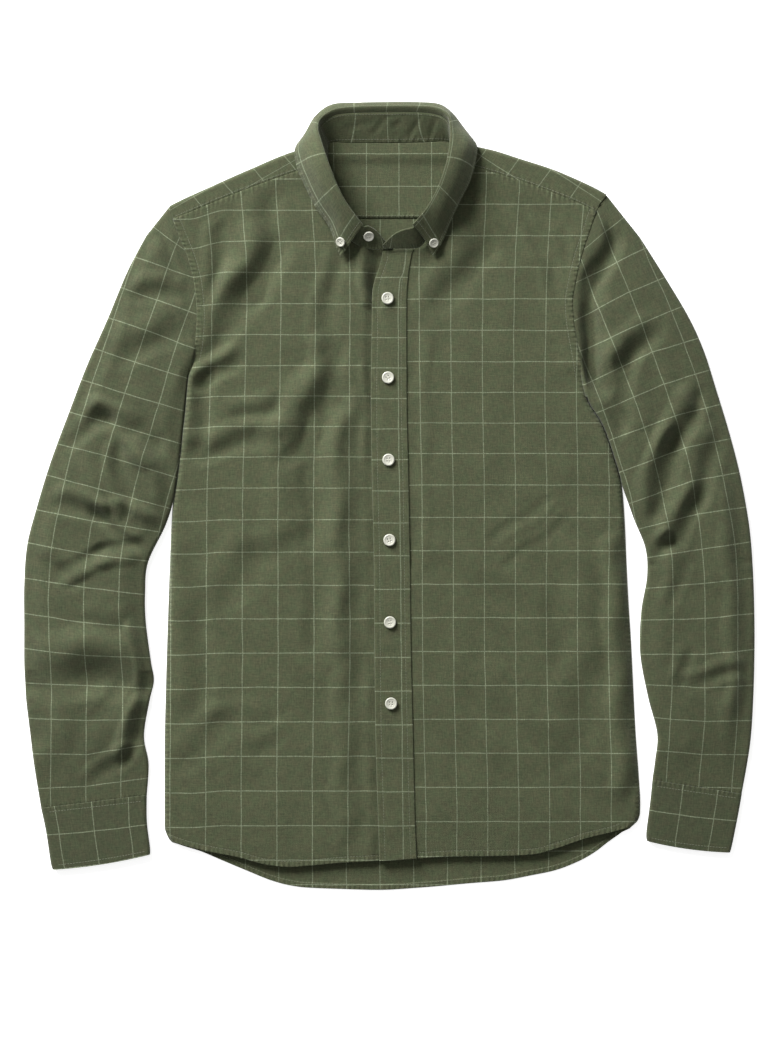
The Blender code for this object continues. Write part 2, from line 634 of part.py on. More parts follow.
def front_grid(left):
    """The upper side of a front, in rows across from the hem to the neck and yoke."""
    outline, _, _ = side_of(left)
    inward = 1.0 if left else -1.0
    shares = spread(0.0, YOKE_SHARE, YOKE_COLUMNS)[1:] + spread(YOKE_SHARE, 1.0, NECK_COLUMNS)[1:]
    hem_side = outline[-1].x

    def centre_x(y):
        return LAP_X if left else edge_x(PLACKET_LEFT, y) + SEAM_GAP

    def point(share, roll, up):
        top_x, top_y = front_top(left, share)
        top_x += inward * roll
        hem_x = mix(hem_side, centre_x(0.0), share) + inward * roll
        y = mix(line_y(FRONT_HEM, hem_x), top_y, up)
        side, centre = edge_x(outline, y), centre_x(y)
        if share == 0.0:
            return side + inward * roll, y
        top_side, top_centre = edge_x(outline, top_y), centre_x(top_y)
        top_share = (top_x - top_side) / (top_centre - top_side)
        return mix(side, centre, mix(share, top_share, ease(up))), y

    grid = []
    for row in range(FRONT_ROWS):
        up = row / (FRONT_ROWS - 1)
        line = [point(0.0, roll, up) for roll in ROLL_STEPS] + [point(share, 0.0, up) for share in shares]
        heights = [front_height(x, y, left) for x, y in line]
        if left:
            heights = [
                z - OVERLAP_DROP * ease((x - edge_x(PLACKET_LEFT, y) + DROP_WIDTH) / DROP_WIDTH)
                for (x, y), z in zip(line, heights)
            ]
        line = [(x, y, z) for (x, y), z in zip(line, heights)]
        grid.append(line if left else line[::-1])
    return grid


def back_grid():
    """The upper side of the back, flat on the table inside the fronts' folded sides."""
    grid = []
    for row in range(BACK_ROWS):
        up = row / (BACK_ROWS - 1)
        line = []
        for share in spread(0.0, 1.0, BACK_COLUMNS):
            hem_x = mix(LEFT_OUTLINE[-1].x + SIDE_INSET, RIGHT_OUTLINE[-1].x - SIDE_INSET, share)
            y = mix(line_y(BACK_HEM, hem_x), YOKE_BACK_Y - SEAM_GAP, up)
            x = mix(edge_x(LEFT_OUTLINE, y) + SIDE_INSET, edge_x(RIGHT_OUTLINE, y) - SIDE_INSET, share)
            line.append((x, y, CLOTH))
        grid.append(line)
    return grid


def between_armholes(x, y, inset):
    return min(edge_x(RIGHT_OUTLINE, y) - inset, max(edge_x(LEFT_OUTLINE, y) + inset, x))


def yoke_column(share):
    """One column of the yoke, from its back seam over the shoulder fold to the front seam. Between the
    neck's corners there is only the back layer."""
    corner_x = NECK_LEFT_X if share < 0.5 else NECK_RIGHT_X
    left_x = edge_x(LEFT_OUTLINE, LEFT_SHOULDER_Y) + SIDE_INSET
    right_x = edge_x(RIGHT_OUTLINE, RIGHT_SHOULDER_Y) - SIDE_INSET
    if share < NECK_SHARE:
        fold_x = mix(left_x, NECK_LEFT_X, share / NECK_SHARE)
    elif share > 1.0 - NECK_SHARE:
        fold_x = mix(right_x, NECK_RIGHT_X, (1.0 - share) / NECK_SHARE)
    else:
        fold_x = mix(NECK_LEFT_X, NECK_RIGHT_X, (share - NECK_SHARE) / (1.0 - 2.0 * NECK_SHARE))
    over_shoulder = not NECK_SHARE < share < 1.0 - NECK_SHARE
    lift = NECK_LIFT * (1.0 - ease((abs(fold_x) - LIFT_START_X) / LIFT_WIDTH))
    radius = (YOKE_RISE - lift) / 2.0
    fold_y = line_y(SHOULDER_FOLD, fold_x)
    back_end = fold_y - radius if over_shoulder else line_y(NECK_BACK, fold_x)
    column = []
    for y in spread(YOKE_BACK_Y + SEAM_GAP, back_end, YOKE_BACK_ROWS):
        near_fold = ease((y - YOKE_BACK_Y) / (back_end - YOKE_BACK_Y))
        low_left, low_right = edge_x(LEFT_OUTLINE, y) + SIDE_INSET, edge_x(RIGHT_OUTLINE, y) - SIDE_INSET
        x = between_armholes(mix(mix(low_left, low_right, share), fold_x, near_fold), y, SIDE_INSET)
        column.append((x, y, lift * ease((y - LIFT_START_Y) / LIFT_CLIMB)))
    if not over_shoulder:
        return column + [None] * (YOKE_FOLD_ROWS + YOKE_FRONT_ROWS)
    for k in range(1, YOKE_FOLD_ROWS + 1):
        turn = math.pi * k / (YOKE_FOLD_ROWS + 1)
        z = lift + radius * (1.0 - math.cos(turn))
        y = fold_y - radius + radius * math.sin(turn)
        column.append((between_armholes(fold_x, y, SEAM_GAP), y, z))
    seam = YOKE_FRONT_LEFT if share < 0.5 else YOKE_FRONT_RIGHT
    for k in range(YOKE_FRONT_ROWS):
        down = k / (YOKE_FRONT_ROWS - 1)
        seam_x = mix(seam[0].x if share < 0.5 else seam[-1].x, corner_x, min(share, 1 - share) / NECK_SHARE)
        x = mix(fold_x, seam_x, down)
        y = mix(fold_y - radius, line_y(seam, seam_x) + SEAM_GAP, down)
        column.append((between_armholes(x, y, SEAM_GAP), y, YOKE_RISE))
    return column


def yoke_grid():
    shares = (
        spread(0.0, NECK_SHARE, YOKE_SIDE_COLUMNS)
        + [0.5 + (0.5 - NECK_SHARE) * place_in_neck for place_in_neck in NECK_BACK_SPREAD]
        + spread(1.0 - NECK_SHARE, 1.0, YOKE_SIDE_COLUMNS)
    )
    columns = [yoke_column(share) for share in shares]
    return [list(row)[::-1] for row in zip(*columns)]


def placket_grid():
    """The upper side of the placket, which lies on the front that laps over."""
    grid = []
    for up in spread(0.0, 1.0, PLACKET_ROWS):
        line = []
        for share in spread(0.0, 1.0, PLACKET_COLUMNS):
            hem_y = line_y(FRONT_HEM, mix(PLACKET_LEFT[-1].x, PLACKET_RIGHT[-1].x, share))
            y = mix(hem_y, PLACKET_TOP_Y, up)
            x = mix(edge_x(PLACKET_LEFT, y), edge_x(PLACKET_RIGHT, y), share)
            line.append((x, y, placket_height(x, y)))
        grid.append(line)
    return grid


def placket_height(x, y):
    return max(front_height(x, y, False), BODY_RISE - PLACKET_SAG) + LAYER_GAP + CLOTH


# ---------------------------------------------------------------- sleeves and cuffs


def ring(outer, inner, height_at, bend):
    """A flattened ring of layout points round a sleeve: along the table from the inner edge to the outer
    one, then back over the top. bend(share) gives the plan point at a share of the way across."""
    width = math.hypot(outer[0] - inner[0], outer[1] - inner[1]) * LAYOUT_UNIT
    edge_height = min(height_at(0.0), height_at(1.0), EDGE_HEIGHT)
    radius = edge_height / 2.0
    across = radius / width
    points = []
    for share in spread(1.0 - across, across, RING_BOTTOM):
        points.append((*bend(share), 0.0))
    for turn in EDGE_TURNS:
        share = across * (1.0 - math.cos(turn))
        points.append((*bend(share), radius * (1.0 + math.sin(turn))))
    for share in spread(across, 1.0 - across, RING_TOP):
        full = height_at(share)
        near_edge = min(share, 1.0 - share) * width
        points.append((*bend(share), mix(edge_height, full, ease(near_edge / EDGE_CLIMB))))
    for turn in reversed(EDGE_TURNS):
        share = 1.0 - across * (1.0 - math.cos(turn))
        points.append((*bend(share), radius * (1.0 + math.sin(turn))))
    return points


def sleeve_grid(left):
    outline, shoulder_y, armpit_y = side_of(left)
    stations = LEFT_SLEEVE if left else RIGHT_SLEEVE
    folds = LEFT_SLEEVE_FOLDS if left else RIGHT_SLEEVE_FOLDS
    outward = -1.0 if left else 1.0
    rings = []
    for position in spread(-1.0, len(stations) - 1.0, SLEEVE_RINGS):
        row = rows_at(stations, max(0.0, position))
        outer, inner = row[:2], row[2:]
        from_armhole = max(0.0, -position)

        def bend(share, outer=outer, inner=inner, from_armhole=from_armhole):
            armhole_y = mix(shoulder_y, armpit_y, share)
            armhole_x = edge_x(outline, armhole_y)
            x = mix(mix(outer[0], inner[0], share), armhole_x, from_armhole)
            y = mix(mix(outer[1], inner[1], share), armhole_y, from_armhole)
            beside_body = edge_x(outline, y) + outward * ARMHOLE_GAP
            return outward * max(outward * x, outward * beside_body), y

        to_cuff = 1.0 - ease((len(stations) - 1.0 - position) / GATHER_STATIONS)

        def height_at(share, bend=bend, to_cuff=to_cuff, from_armhole=from_armhole):
            x, y = bend(share)
            rise = max(LOWEST_SLEEVE, SLEEVE_RISE + relief(folds, x, y))
            rise = mix(rise, CUFF_RISE, to_cuff)
            return mix(rise, ARMHOLE_RISE, from_armhole)

        rings.append(ring(outer, inner, height_at, bend))
    return [points[::-1] for points in rings] if left else rings


def cuff_grid(left):
    stations = LEFT_CUFF if left else RIGHT_CUFF
    rings = []
    for down in spread(0.0, 1.0, CUFF_RINGS):
        row = rows_at(stations, down * (len(stations) - 1.0))
        outer, inner = row[:2], row[2:]

        def bend(share, outer=outer, inner=inner, down=down):
            bow = CUFF_BOW * down * 4.0 * share * (1.0 - share)
            return mix(outer[0], inner[0], share), mix(outer[1], inner[1], share) - bow

        rings.append(ring(outer, inner, lambda share: CUFF_RISE, bend))
    return [points[::-1] for points in rings] if left else rings


# ---------------------------------------------------------------- collar


def curve_point(points, position):
    x, y, z = rows_at(points, position)
    return x, y, max(COLLAR_CLOTH / 2.0, z)


def seam_share(base, crest):
    """The share of the way up from the neck seam where the stand ends and the leaf starts."""
    return 1.0 - ROLL_DEPTH / math.dist(base, crest)


def leaf_grid():
    grid = []
    for position in spread(0.0, len(COLLAR) - 1.0, COLLAR_STEPS):
        row = rows_at(COLLAR, position)
        base, crest, out, edge = row[0:3], row[3:6], row[6:9], row[9:12]
        share = seam_share(base, crest) + SEAM_GAP / math.dist(base, crest)
        seam = mix_point(base, crest, share)
        grid.append([curve_point((seam, crest, out, edge), at) for at in LEAF_PLACES])
    return grid


def stand_grid():
    left_end = [(end[0:3], end[3:6]) for end in LEFT_STAND_END]
    right_end = [(end[0:3], end[3:6]) for end in RIGHT_STAND_END]
    middle = []
    for position in spread(0.0, len(COLLAR) - 1.0, STAND_STEPS):
        row = rows_at(COLLAR, position)
        base, crest = row[0:3], row[3:6]
        share = seam_share(base, crest)
        middle.append((base, mix_point(base, crest, share)))
    rows = spread(0.0, 1.0, STAND_ROWS)
    return [[mix_point(base, top, up) for up in rows] for base, top in left_end + middle + right_end]


# ---------------------------------------------------------------- buttons


def surface_at(grid, x, y):
    """The highest point of a grid above a layout point, and the way its upper side faces."""
    best = None
    for lower, upper in zip(grid, grid[1:]):
        for j in range(len(lower) - 1):
            a, b, c, d = lower[j], lower[j + 1], upper[j + 1], upper[j]
            for p, q, r in ((a, b, c), (a, c, d)):
                area = (q[0] - p[0]) * (r[1] - p[1]) - (r[0] - p[0]) * (q[1] - p[1])
                if area == 0.0:
                    continue
                u = ((x - p[0]) * (r[1] - p[1]) - (r[0] - p[0]) * (y - p[1])) / area
                v = ((q[0] - p[0]) * (y - p[1]) - (x - p[0]) * (q[1] - p[1])) / area
                if u < 0 or v < 0 or u + v > 1:
                    continue
                z = p[2] + u * (q[2] - p[2]) + v * (r[2] - p[2])
                if best is None or z > best[0]:
                    normal = (place(*q) - place(*p)).cross(place(*r) - place(*p)).normalized()
                    best = (z, normal if normal.z > 0 else -normal)
    return best


def button(name, spot, grid, surface_offset, radius, look):
    """A turned button with a raised rim, seated on the cloth below it."""
    z, normal = surface_at(grid, spot.x, spot.y)
    centre = place(spot.x, spot.y, z) + normal * (surface_offset + LAYER_GAP) * MM
    shape = bmesh.new()
    points = [
        shape.verts.new((out * radius * MM, 0.0, up * BUTTON_THICKNESS * MM)) for out, up in BUTTON_PROFILE
    ]
    for a, b in zip(points, points[1:]):
        shape.edges.new((a, b))
    mesh = bpy.data.meshes.new(name)
    shape.to_mesh(mesh)
    shape.free()
    made = add_object(name, mesh, look)
    turned = made.modifiers.new("turned", "SCREW")
    turned.steps = turned.render_steps = BUTTON_STEPS
    turned.use_merge_vertices = True
    turned.merge_threshold = MERGE_DISTANCE
    turned.use_smooth_shade = True
    made.matrix_world = Matrix.Translation(centre) @ normal.to_track_quat("Z", "Y").to_matrix().to_4x4()
    return made


# ---------------------------------------------------------------- the shirt


def build_shirt():
    for leftover in list(bpy.data.objects):
        bpy.data.objects.remove(leftover)
    bpy.context.scene.collection.children.link(bpy.data.collections.new("shirt"))
    looks = {}
    for name in ("body_cloth", "yoke_cloth", "sleeve_cloth", "cuff_cloth", "placket_cloth", "collar_cloth"):
        looks[name] = material(name, GREEN, 0.85)
    white = material("button_white", BUTTON_WHITE, 0.35)

    cloth_object("back", back_grid(), looks["body_cloth"], CLOTH, -1.0)
    cloth_object("front_left", front_grid(True), looks["body_cloth"], CLOTH, -1.0)
    cloth_object("front_right", front_grid(False), looks["body_cloth"], CLOTH, -1.0)
    cloth_object("yoke", yoke_grid(), looks["yoke_cloth"], CLOTH, -1.0)
    placket = placket_grid()
    cloth_object("placket", placket, looks["placket_cloth"], CLOTH, -1.0)
    for side, left in (("left", True), ("right", False)):
        cloth_object(f"sleeve_{side}", sleeve_grid(left), looks["sleeve_cloth"], CLOTH, -1.0, closed=True)
        cloth_object(f"cuff_{side}", cuff_grid(left), looks["cuff_cloth"], CUFF_CLOTH, -1.0, closed=True)
    stand, leaf = stand_grid(), leaf_grid()
    cloth_object("collar_stand", stand, looks["collar_cloth"], COLLAR_CLOTH, 0.0)
    cloth_object("collar_leaf", leaf, looks["collar_cloth"], COLLAR_CLOTH, 0.0)

    for number, spot in enumerate(FRONT_BUTTONS, 1):
        button(f"button_{number}", spot, placket, 0.0, BUTTON_RADIUS, white)
    half_ply = COLLAR_CLOTH / 2.0
    button("button_stand", STAND_BUTTON, stand, half_ply, BUTTON_RADIUS, white)
    button("button_point_left", LEFT_POINT_BUTTON, leaf, half_ply, COLLAR_BUTTON_RADIUS, white)
    button("button_point_right", RIGHT_POINT_BUTTON, leaf, half_ply, COLLAR_BUTTON_RADIUS, white)


build_shirt()
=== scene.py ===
"""The looks of a long-sleeved button-down shirt in checked poplin, laid out flat, front side up.

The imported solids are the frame. Each piece of the shirt is a thin shell of cloth on its solid's form, with
the creases, seams and check of the real cloth, and rides on the frame's one body.

The pieces are worked out in a layout of the table top: x runs to the right from the button line and y up
from the lowest point of the back hem, both in layout units, and z is the height above the table in
millimetres. Layout.place() moves the layout to the frame, in metres. "Left" and "right" are as the shirt
is seen from above.
"""

import logging
import math
from dataclasses import dataclass, replace
from enum import Enum
from typing import Any, Callable, NamedTuple, Sequence

import bmesh
import bpy
import numpy as np
from bmesh.types import BMesh, BMVert
from bpy.types import Material, Mesh, NodeSocket, Object
from mathutils import Matrix, Vector


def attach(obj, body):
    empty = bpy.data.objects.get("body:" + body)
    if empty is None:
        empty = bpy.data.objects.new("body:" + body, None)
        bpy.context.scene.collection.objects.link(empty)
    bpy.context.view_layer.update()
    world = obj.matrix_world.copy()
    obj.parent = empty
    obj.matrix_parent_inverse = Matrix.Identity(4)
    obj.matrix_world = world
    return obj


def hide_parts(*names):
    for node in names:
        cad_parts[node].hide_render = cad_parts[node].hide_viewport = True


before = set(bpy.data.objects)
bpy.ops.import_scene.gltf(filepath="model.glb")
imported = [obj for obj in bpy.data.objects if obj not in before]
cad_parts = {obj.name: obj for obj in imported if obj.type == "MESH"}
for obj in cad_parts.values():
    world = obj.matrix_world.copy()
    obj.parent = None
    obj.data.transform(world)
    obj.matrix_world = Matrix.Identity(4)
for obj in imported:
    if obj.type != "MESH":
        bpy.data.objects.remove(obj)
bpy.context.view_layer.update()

LOG = logging.getLogger("shirt")
Array = np.ndarray
Colour = tuple[float, float, float, float]
Profile = tuple[tuple[float, float], ...]
MM = 0.001

# ---------------- tables of the cut


class Point(NamedTuple):
    """A point of an outline, a seam or a fold, or a button's place."""

    x: float
    y: float


class Crease(NamedTuple):
    """A line along which the cloth is lifted or sunk.

    In a table of folds, strength is the millimetres that a ridge rises on its line, below 0 for a trough.
    In a table of slants, it is the slope down to the lower right, between a ridge and a trough.
    """

    x0: float
    y0: float
    x1: float
    y1: float
    half_width: float
    strength: float


class Station(NamedTuple):
    """Where a row across a sleeve or cuff meets its outer and its inner fold."""

    outer_x: float
    outer_y: float
    inner_x: float
    inner_y: float


class CollarStation(NamedTuple):
    """A section of the collar: the stand's foot, the roll's crest, the leaf's fall and its edge."""

    base_x: float
    base_y: float
    base_z: float
    crest_x: float
    crest_y: float
    crest_z: float
    out_x: float
    out_y: float
    out_z: float
    edge_x: float
    edge_y: float
    edge_z: float


class StandEnd(NamedTuple):
    """A section of the stand past the leaf's end."""

    base_x: float
    base_y: float
    base_z: float
    top_x: float
    top_y: float
    top_z: float


class ColumnCheck(NamedTuple):
    """At a height, the x of one pale line down a panel and the step to the next."""

    y: float
    x: float
    step: float


class RowCheck(NamedTuple):
    """The height of a numbered pale line across a panel."""

    y: float
    number: float


class AcrossCheck(NamedTuple):
    """A pale line across a sleeve, by its outer end, its middle and its inner end."""

    outer_x: float
    outer_y: float
    middle_x: float
    middle_y: float
    inner_x: float
    inner_y: float


class AlongCheck(NamedTuple):
    """At a height, where three pale lines along a sleeve pass, from the outer fold in."""

    y: float
    first_x: float
    second_x: float
    third_x: float


class RollCheck(NamedTuple):
    """The number of the pale line that crosses the collar at a station."""

    station: float
    number: float


class Span(NamedTuple):
    """Where a row of stitches starts and ends, and how many points its line has."""

    start: float
    end: float
    count: int

    def points(self) -> Array:
        """Places along the row."""
        return np.linspace(*self)


class Cut(NamedTuple):
    """The flat size that a piece was cut to, in metres, and its area."""

    width: float
    length: float
    area: float


def table(kind: Any, *rows: Sequence[float]) -> Any:
    """A table's rows, each with the columns that its kind names."""
    return tuple(kind(*row) for row in rows)


# The outlines, seams and folded edges, down and across the shirt.

LEFT_OUTLINE = table(
    Point,  # x, y
    (-221.5, 686), (-220.4, 681.4), (-211.4, 656), (-201.2, 630.4), (-195, 605), (-192.3, 574),
    (-193.6, 549), (-198.7, 523), (-202, 512), (-205.5, 474), (-211.4, 421), (-217.2, 379), (-221, 289),
    (-224, 189), (-225, 139), (-225, 62), (-223.6, 56.6), (-220.4, 50), (-217, 46),
)
RIGHT_OUTLINE = table(
    Point,  # x, y
    (219, 698), (217, 693), (210, 684), (201.7, 661.6), (191, 628), (186, 606), (183, 586), (184, 569),
    (190, 533), (198, 491), (213.4, 464), (223.3, 437), (232.8, 401), (235.8, 359), (237, 329), (239, 289),
    (241.5, 249), (243.5, 209), (246, 159), (249.6, 109), (250.8, 86), (250.6, 76), (248.5, 69), (243, 63),
    (238, 58),
)
FRONT_HEM = table(
    Point,  # x, y
    (-225, 51), (-204, 43.6), (-179, 37.6), (-150, 32), (-124, 25), (-101, 22.5), (-78, 24), (-44, 27),
    (-11, 28.5), (28, 31), (64, 33), (112, 33.5), (143, 35), (168, 41.5), (196, 51), (224, 58), (250, 69),
)
BACK_HEM = table(
    Point,  # x, y
    (-225, 50), (-204, 42.5), (-190.5, 38.5), (-166.5, 28.5), (-142.5, 18.5), (-117.5, 8.5), (-100, 3.8),
    (-84, 1.6), (-51, 0.2), (-11, -0.8), (32, 1.6), (82, 6), (112.5, 8.5), (143, 14), (164.5, 18.5),
    (190.5, 28.5), (207.5, 38.5), (217, 46), (227, 53), (250, 70),
)
SHOULDER_FOLD = table(
    Point,  # x, y
    (-222, 681), (-217, 684), (-207, 689), (-185, 699), (-140, 719), (-94, 737.5), (-80, 740.5),
    (-64, 742.5), (62, 743.5), (82, 742.3), (100.5, 739), (131.5, 729.4), (162.5, 719.4), (186.5, 709.4),
    (207.5, 699.4), (216, 694.4), (220, 691.4),
)
YOKE_FRONT_LEFT = table(
    Point,  # x, y
    (-216, 669), (-148, 697), (-91, 717.5), (-66, 725),
)
YOKE_FRONT_RIGHT = table(
    Point,  # x, y
    (66, 726), (80.6, 722), (126.5, 708.5), (165, 694.5), (188, 685.3), (206, 676),
)
NECK_BACK = table(
    Point,  # x, y
    (-66, 742), (-60, 745.4), (-55, 746.6), (-50, 746.6), (0, 745.8), (38, 746.6), (51, 747.4), (56, 747.2),
    (60, 745.8), (66, 742),
)
NECK_LEFT = table(
    Point,  # x, y
    (-66, 725), (-63, 711), (-60.5, 695), (-54.5, 678), (-46.5, 660), (-35, 647), (-23, 642), (14, 640.5),
)
NECK_RIGHT = table(
    Point,  # x, y
    (-7, 640.5), (8, 641.2), (26, 644), (34, 650), (43, 662), (54, 683), (60, 698.5), (63, 712.5),
    (66, 726),
)
PLACKET_LEFT = table(
    Point,  # x, y
    (-7, 640), (-7.5, 632), (-10.5, 621), (-14.5, 609), (-17, 597), (-17.8, 554), (-18.5, 489),
    (-17.5, 409), (-15.6, 325), (-15, 241), (-14, 157), (-11.2, 64), (-10, 25),
)
PLACKET_RIGHT = table(
    Point,  # x, y
    (24, 640), (21.5, 630), (18.6, 611), (17.2, 586), (17.5, 486), (19, 419), (20.5, 329), (21.5, 249),
    (23.5, 159), (26, 59), (27.5, 25),
)
LEFT_SLEEVE = table(
    Station,  # outer_x, outer_y, inner_x, inner_y
    (-243, 653, -202.5, 499), (-262, 617, -203.5, 487), (-282, 569, -205, 474), (-302, 524, -206.8, 456),
    (-320, 477, -209.5, 432), (-338.5, 427, -214.6, 394), (-352.3, 382, -223.5, 364),
    (-362, 344, -241, 327), (-365, 304, -244, 296), (-365, 264, -243.3, 267), (-365, 229, -238.4, 229),
    (-364.3, 209, -235.4, 209), (-363, 189, -239.5, 189), (-358.3, 149, -245.2, 154),
    (-354, 117, -240.6, 126), (-348.3, 82, -242.4, 95),
)
RIGHT_SLEEVE = table(
    Station,  # outer_x, outer_y, inner_x, inner_y
    (250, 651.5, 198, 486), (274.6, 612.5, 202.5, 479), (299.2, 571, 208.8, 469), (314.4, 537, 215.8, 455),
    (326.8, 498, 223, 435), (338.7, 459, 230, 410), (349.2, 419, 238, 387), (357, 379, 244.8, 368),
    (361, 349, 255.5, 341), (363.4, 313, 257.2, 313), (364.6, 272, 251.3, 277), (364.6, 232, 250.3, 236),
    (363.5, 192, 258, 193), (361.2, 154, 267.3, 156), (357.4, 126, 265.4, 130), (352, 96, 262.7, 110),
)
LEFT_CUFF = table(
    Station,  # outer_x, outer_y, inner_x, inner_y
    (-348.2, 81.6, -242.4, 94.6), (-343.2, 58, -242.3, 68), (-338.5, 27, -239.2, 42),
    (-336.4, 19.8, -239.2, 34.9),
)
RIGHT_CUFF = table(
    Station,  # outer_x, outer_y, inner_x, inner_y
    (352, 95.6, 262.6, 109.6), (348.6, 76, 260.3, 87), (342.6, 46, 256.5, 57), (340.2, 37, 257.2, 48.4),
)

# The cloth's ridges and troughs, then the slanting strips that lie between a ridge and a trough.
BODY_FOLDS = table(
    Crease,  # x0, y0, x1, y1, half_width, strength
    (-23.5, 640, -15.5, 621, 7, 1.2), (-15.5, 641, -7.5, 613, 6, -1), (163.5, 544, 182.5, 546, 4, -0.4),
    (163.5, 529, 182.5, 532, 4, -0.4), (163.5, 512, 180.5, 514, 4, -0.4),
    (-89.5, 627, -103.5, 547, 26, 1.4),
)
LEFT_SLEEVE_FOLDS = table(
    Crease,  # x0, y0, x1, y1, half_width, strength
    (-297.5, 444, -291.5, 397, 22, 1.8), (-329.5, 289, -317.5, 249, 24, 1.2),
    (-289.5, 293, -257.5, 289, 14, 1),
)
RIGHT_SLEEVE_FOLDS = table(
    Crease,  # x0, y0, x1, y1, half_width, strength
    (210.5, 655, 197.5, 595, 22, -7.5), (196.5, 571, 206.5, 503, 21, -8), (222.5, 577, 232.5, 559, 16, 1.6),
    (250.5, 529, 250.5, 469, 14, 1.2), (300.5, 203, 346.5, 212, 9, 1.4),
)
BODY_SLANTS = table(
    Crease,  # x0, y0, x1, y1, half_width, strength
    (-127.5, 693, -127.5, 639, 26, 0.3), (-127.5, 639, -143.5, 605, 34, 0.4),
    (-143.5, 605, -183.5, 553, 30, 0.38), (-172.5, 657, -182.5, 599, 17, 0.41),
    (-159.5, 527, -186.5, 515, 20, 0.46), (-186.5, 515, -197.5, 453, 20, 0.46),
    (-121.5, 487, -153.5, 475, 18, 0.3), (-117.5, 459, -189.5, 443, 22, 0.37),
    (-61.5, 539, -67.5, 497, 24, 0.37), (-67.5, 497, -101.5, 449, 34, 0.41),
    (-67.5, 469, -62.5, 249, 26, -0.28), (-39.5, 469, -37.5, 49, 24, 0.28),
    (-20.5, 519, -19.5, 429, 10, 0.32), (-23.5, 639, -16.5, 589, 14, 0.86), (2.5, 589, 2.5, 559, 16, 0.11),
    (-89.5, 439, -97.5, 359, 40, 0.16), (-93.5, 355, -139.5, 339, 22, 0.12),
    (-139.5, 337, -173.5, 297, 34, 0.13), (-109.5, 178, -167.5, 172, 18, 0.12),
    (-167.5, 172, -211.5, 133, 24, 0.15), (-105.5, 161, -139.5, 143, 18, 0.1),
    (-57.5, 631, -71.5, 544, 18, 0.3), (-201.5, 329, -195.5, 199, 26, 0.21),
    (-149.5, 269, -99.5, 199, 36, -0.11), (231.5, 341, 241.5, 109, 24, 0.57),
    (198.5, 229, 168.5, 141, 36, 0.12), (144.5, 653, 172.5, 577, 15, 0.3),
    (128.5, 677, 144.5, 639, 15, 0.23), (176.5, 653, 186.5, 589, 11, -0.28),
    (110.5, 349, 155.5, 384, 13, -0.21), (118.5, 329, 170.5, 369, 13, 0.17),
    (30.5, 559, 30.5, 329, 14, -0.16), (172.5, 329, 186.5, 239, 32, -0.16),
    (100.5, 201, 200.5, 105, 36, 0.14), (62.5, 693, 80.5, 639, 34, 0.28), (80.5, 639, 50.5, 597, 30, 0.23),
    (30.5, 189, 90.5, 129, 30, 0.11), (50.5, 329, 130.5, 289, 30, 0.09),
)
LEFT_SLEEVE_SLANTS = table(
    Crease,  # x0, y0, x1, y1, half_width, strength
    (-223.5, 653, -209.5, 613, 9, -0.41), (-209.5, 613, -200.5, 553, 9, -0.37),
    (-239.5, 655, -217.5, 619, 15, 0.51), (-211.5, 647, -201.5, 569, 12, 0.56),
    (-249.5, 601, -211.5, 599, 18, 0.44), (-263.5, 545, -221.5, 561, 28, 0.27),
    (-319.5, 457, -289.5, 476, 19, 0.49), (-289.5, 476, -261.5, 467, 21, 0.54),
    (-261.5, 467, -237.5, 439, 24, 0.46), (-237.5, 439, -221.5, 397, 22, 0.37),
    (-273.5, 437, -267.5, 381, 15, 0.51), (-329.5, 392, -289.5, 377, 18, 0.51),
    (-289.5, 377, -243.5, 349, 17, 0.67), (-273.5, 383, -227.5, 358, 15, 0.92),
    (-323.5, 317, -283.5, 331, 15, -0.44), (-283.5, 331, -241.5, 344, 15, -0.46),
    (-339.5, 329, -315.5, 315, 20, 0.27), (-361.5, 221, -299.5, 227, 42, 0.26),
    (-299.5, 227, -239.5, 221, 42, 0.3), (-248.5, 261, -237.5, 193, 17, 0.98),
    (-242.5, 185, -265.5, 139, 18, 1.22), (-265.5, 139, -297.5, 111, 16, 1.04),
    (-261.5, 199, -291.5, 145, 20, -0.24), (-285.5, 149, -315.5, 95, 24, 0.29),
    (-334.5, 92, -267.5, 90, 12, 0.34), (-295.5, 269, -259.5, 273, 20, 0.17),
    (-351.5, 189, -337.5, 69, 24, 0.2), (-309.5, 189, -329.5, 109, 30, 0.12),
    (-299.5, 539, -319.5, 489, 26, 0.15),
)
RIGHT_SLEEVE_SLANTS = table(
    Crease,  # x0, y0, x1, y1, half_width, strength
    (209.5, 685, 216.5, 651, 15, 0.5), (217.5, 651, 197.5, 617, 22, 0.95),
    (197.5, 617, 189.5, 569, 20, 0.5), (189.5, 569, 195.5, 519, 20, 0.5), (195.5, 519, 218.5, 461, 18, 0.7),
    (252.5, 556, 229.5, 535, 23, 0.42), (227.5, 535, 219.5, 475, 27, 0.46),
    (284.5, 505, 298.5, 489, 15, 0.28), (298.5, 489, 279.5, 449, 22, 0.5),
    (279.5, 449, 255.5, 379, 21, 0.64), (320.5, 449, 300.5, 393, 22, 0.4),
    (300.5, 393, 282.5, 355, 20, 0.5), (278.5, 351, 252.5, 326, 14, 1.05),
    (312.5, 485, 274.5, 401, 13, -0.18), (286.5, 327, 277.5, 293, 16, 0.26),
    (348.5, 222, 300.5, 211, 15, 0.42), (291.5, 237, 287.5, 211, 13, 0.32),
    (272.5, 189, 278.5, 154, 20, 0.18), (308.5, 99, 348.5, 95, 12, 0.28), (274.5, 119, 294.5, 125, 9, 0.22),
    (343.5, 389, 352.5, 189, 20, 0.34), (348.5, 189, 338.5, 89, 20, 0.22),
    (310.5, 389, 322.5, 329, 28, -0.14), (300.5, 289, 330.5, 239, 30, 0.1),
)

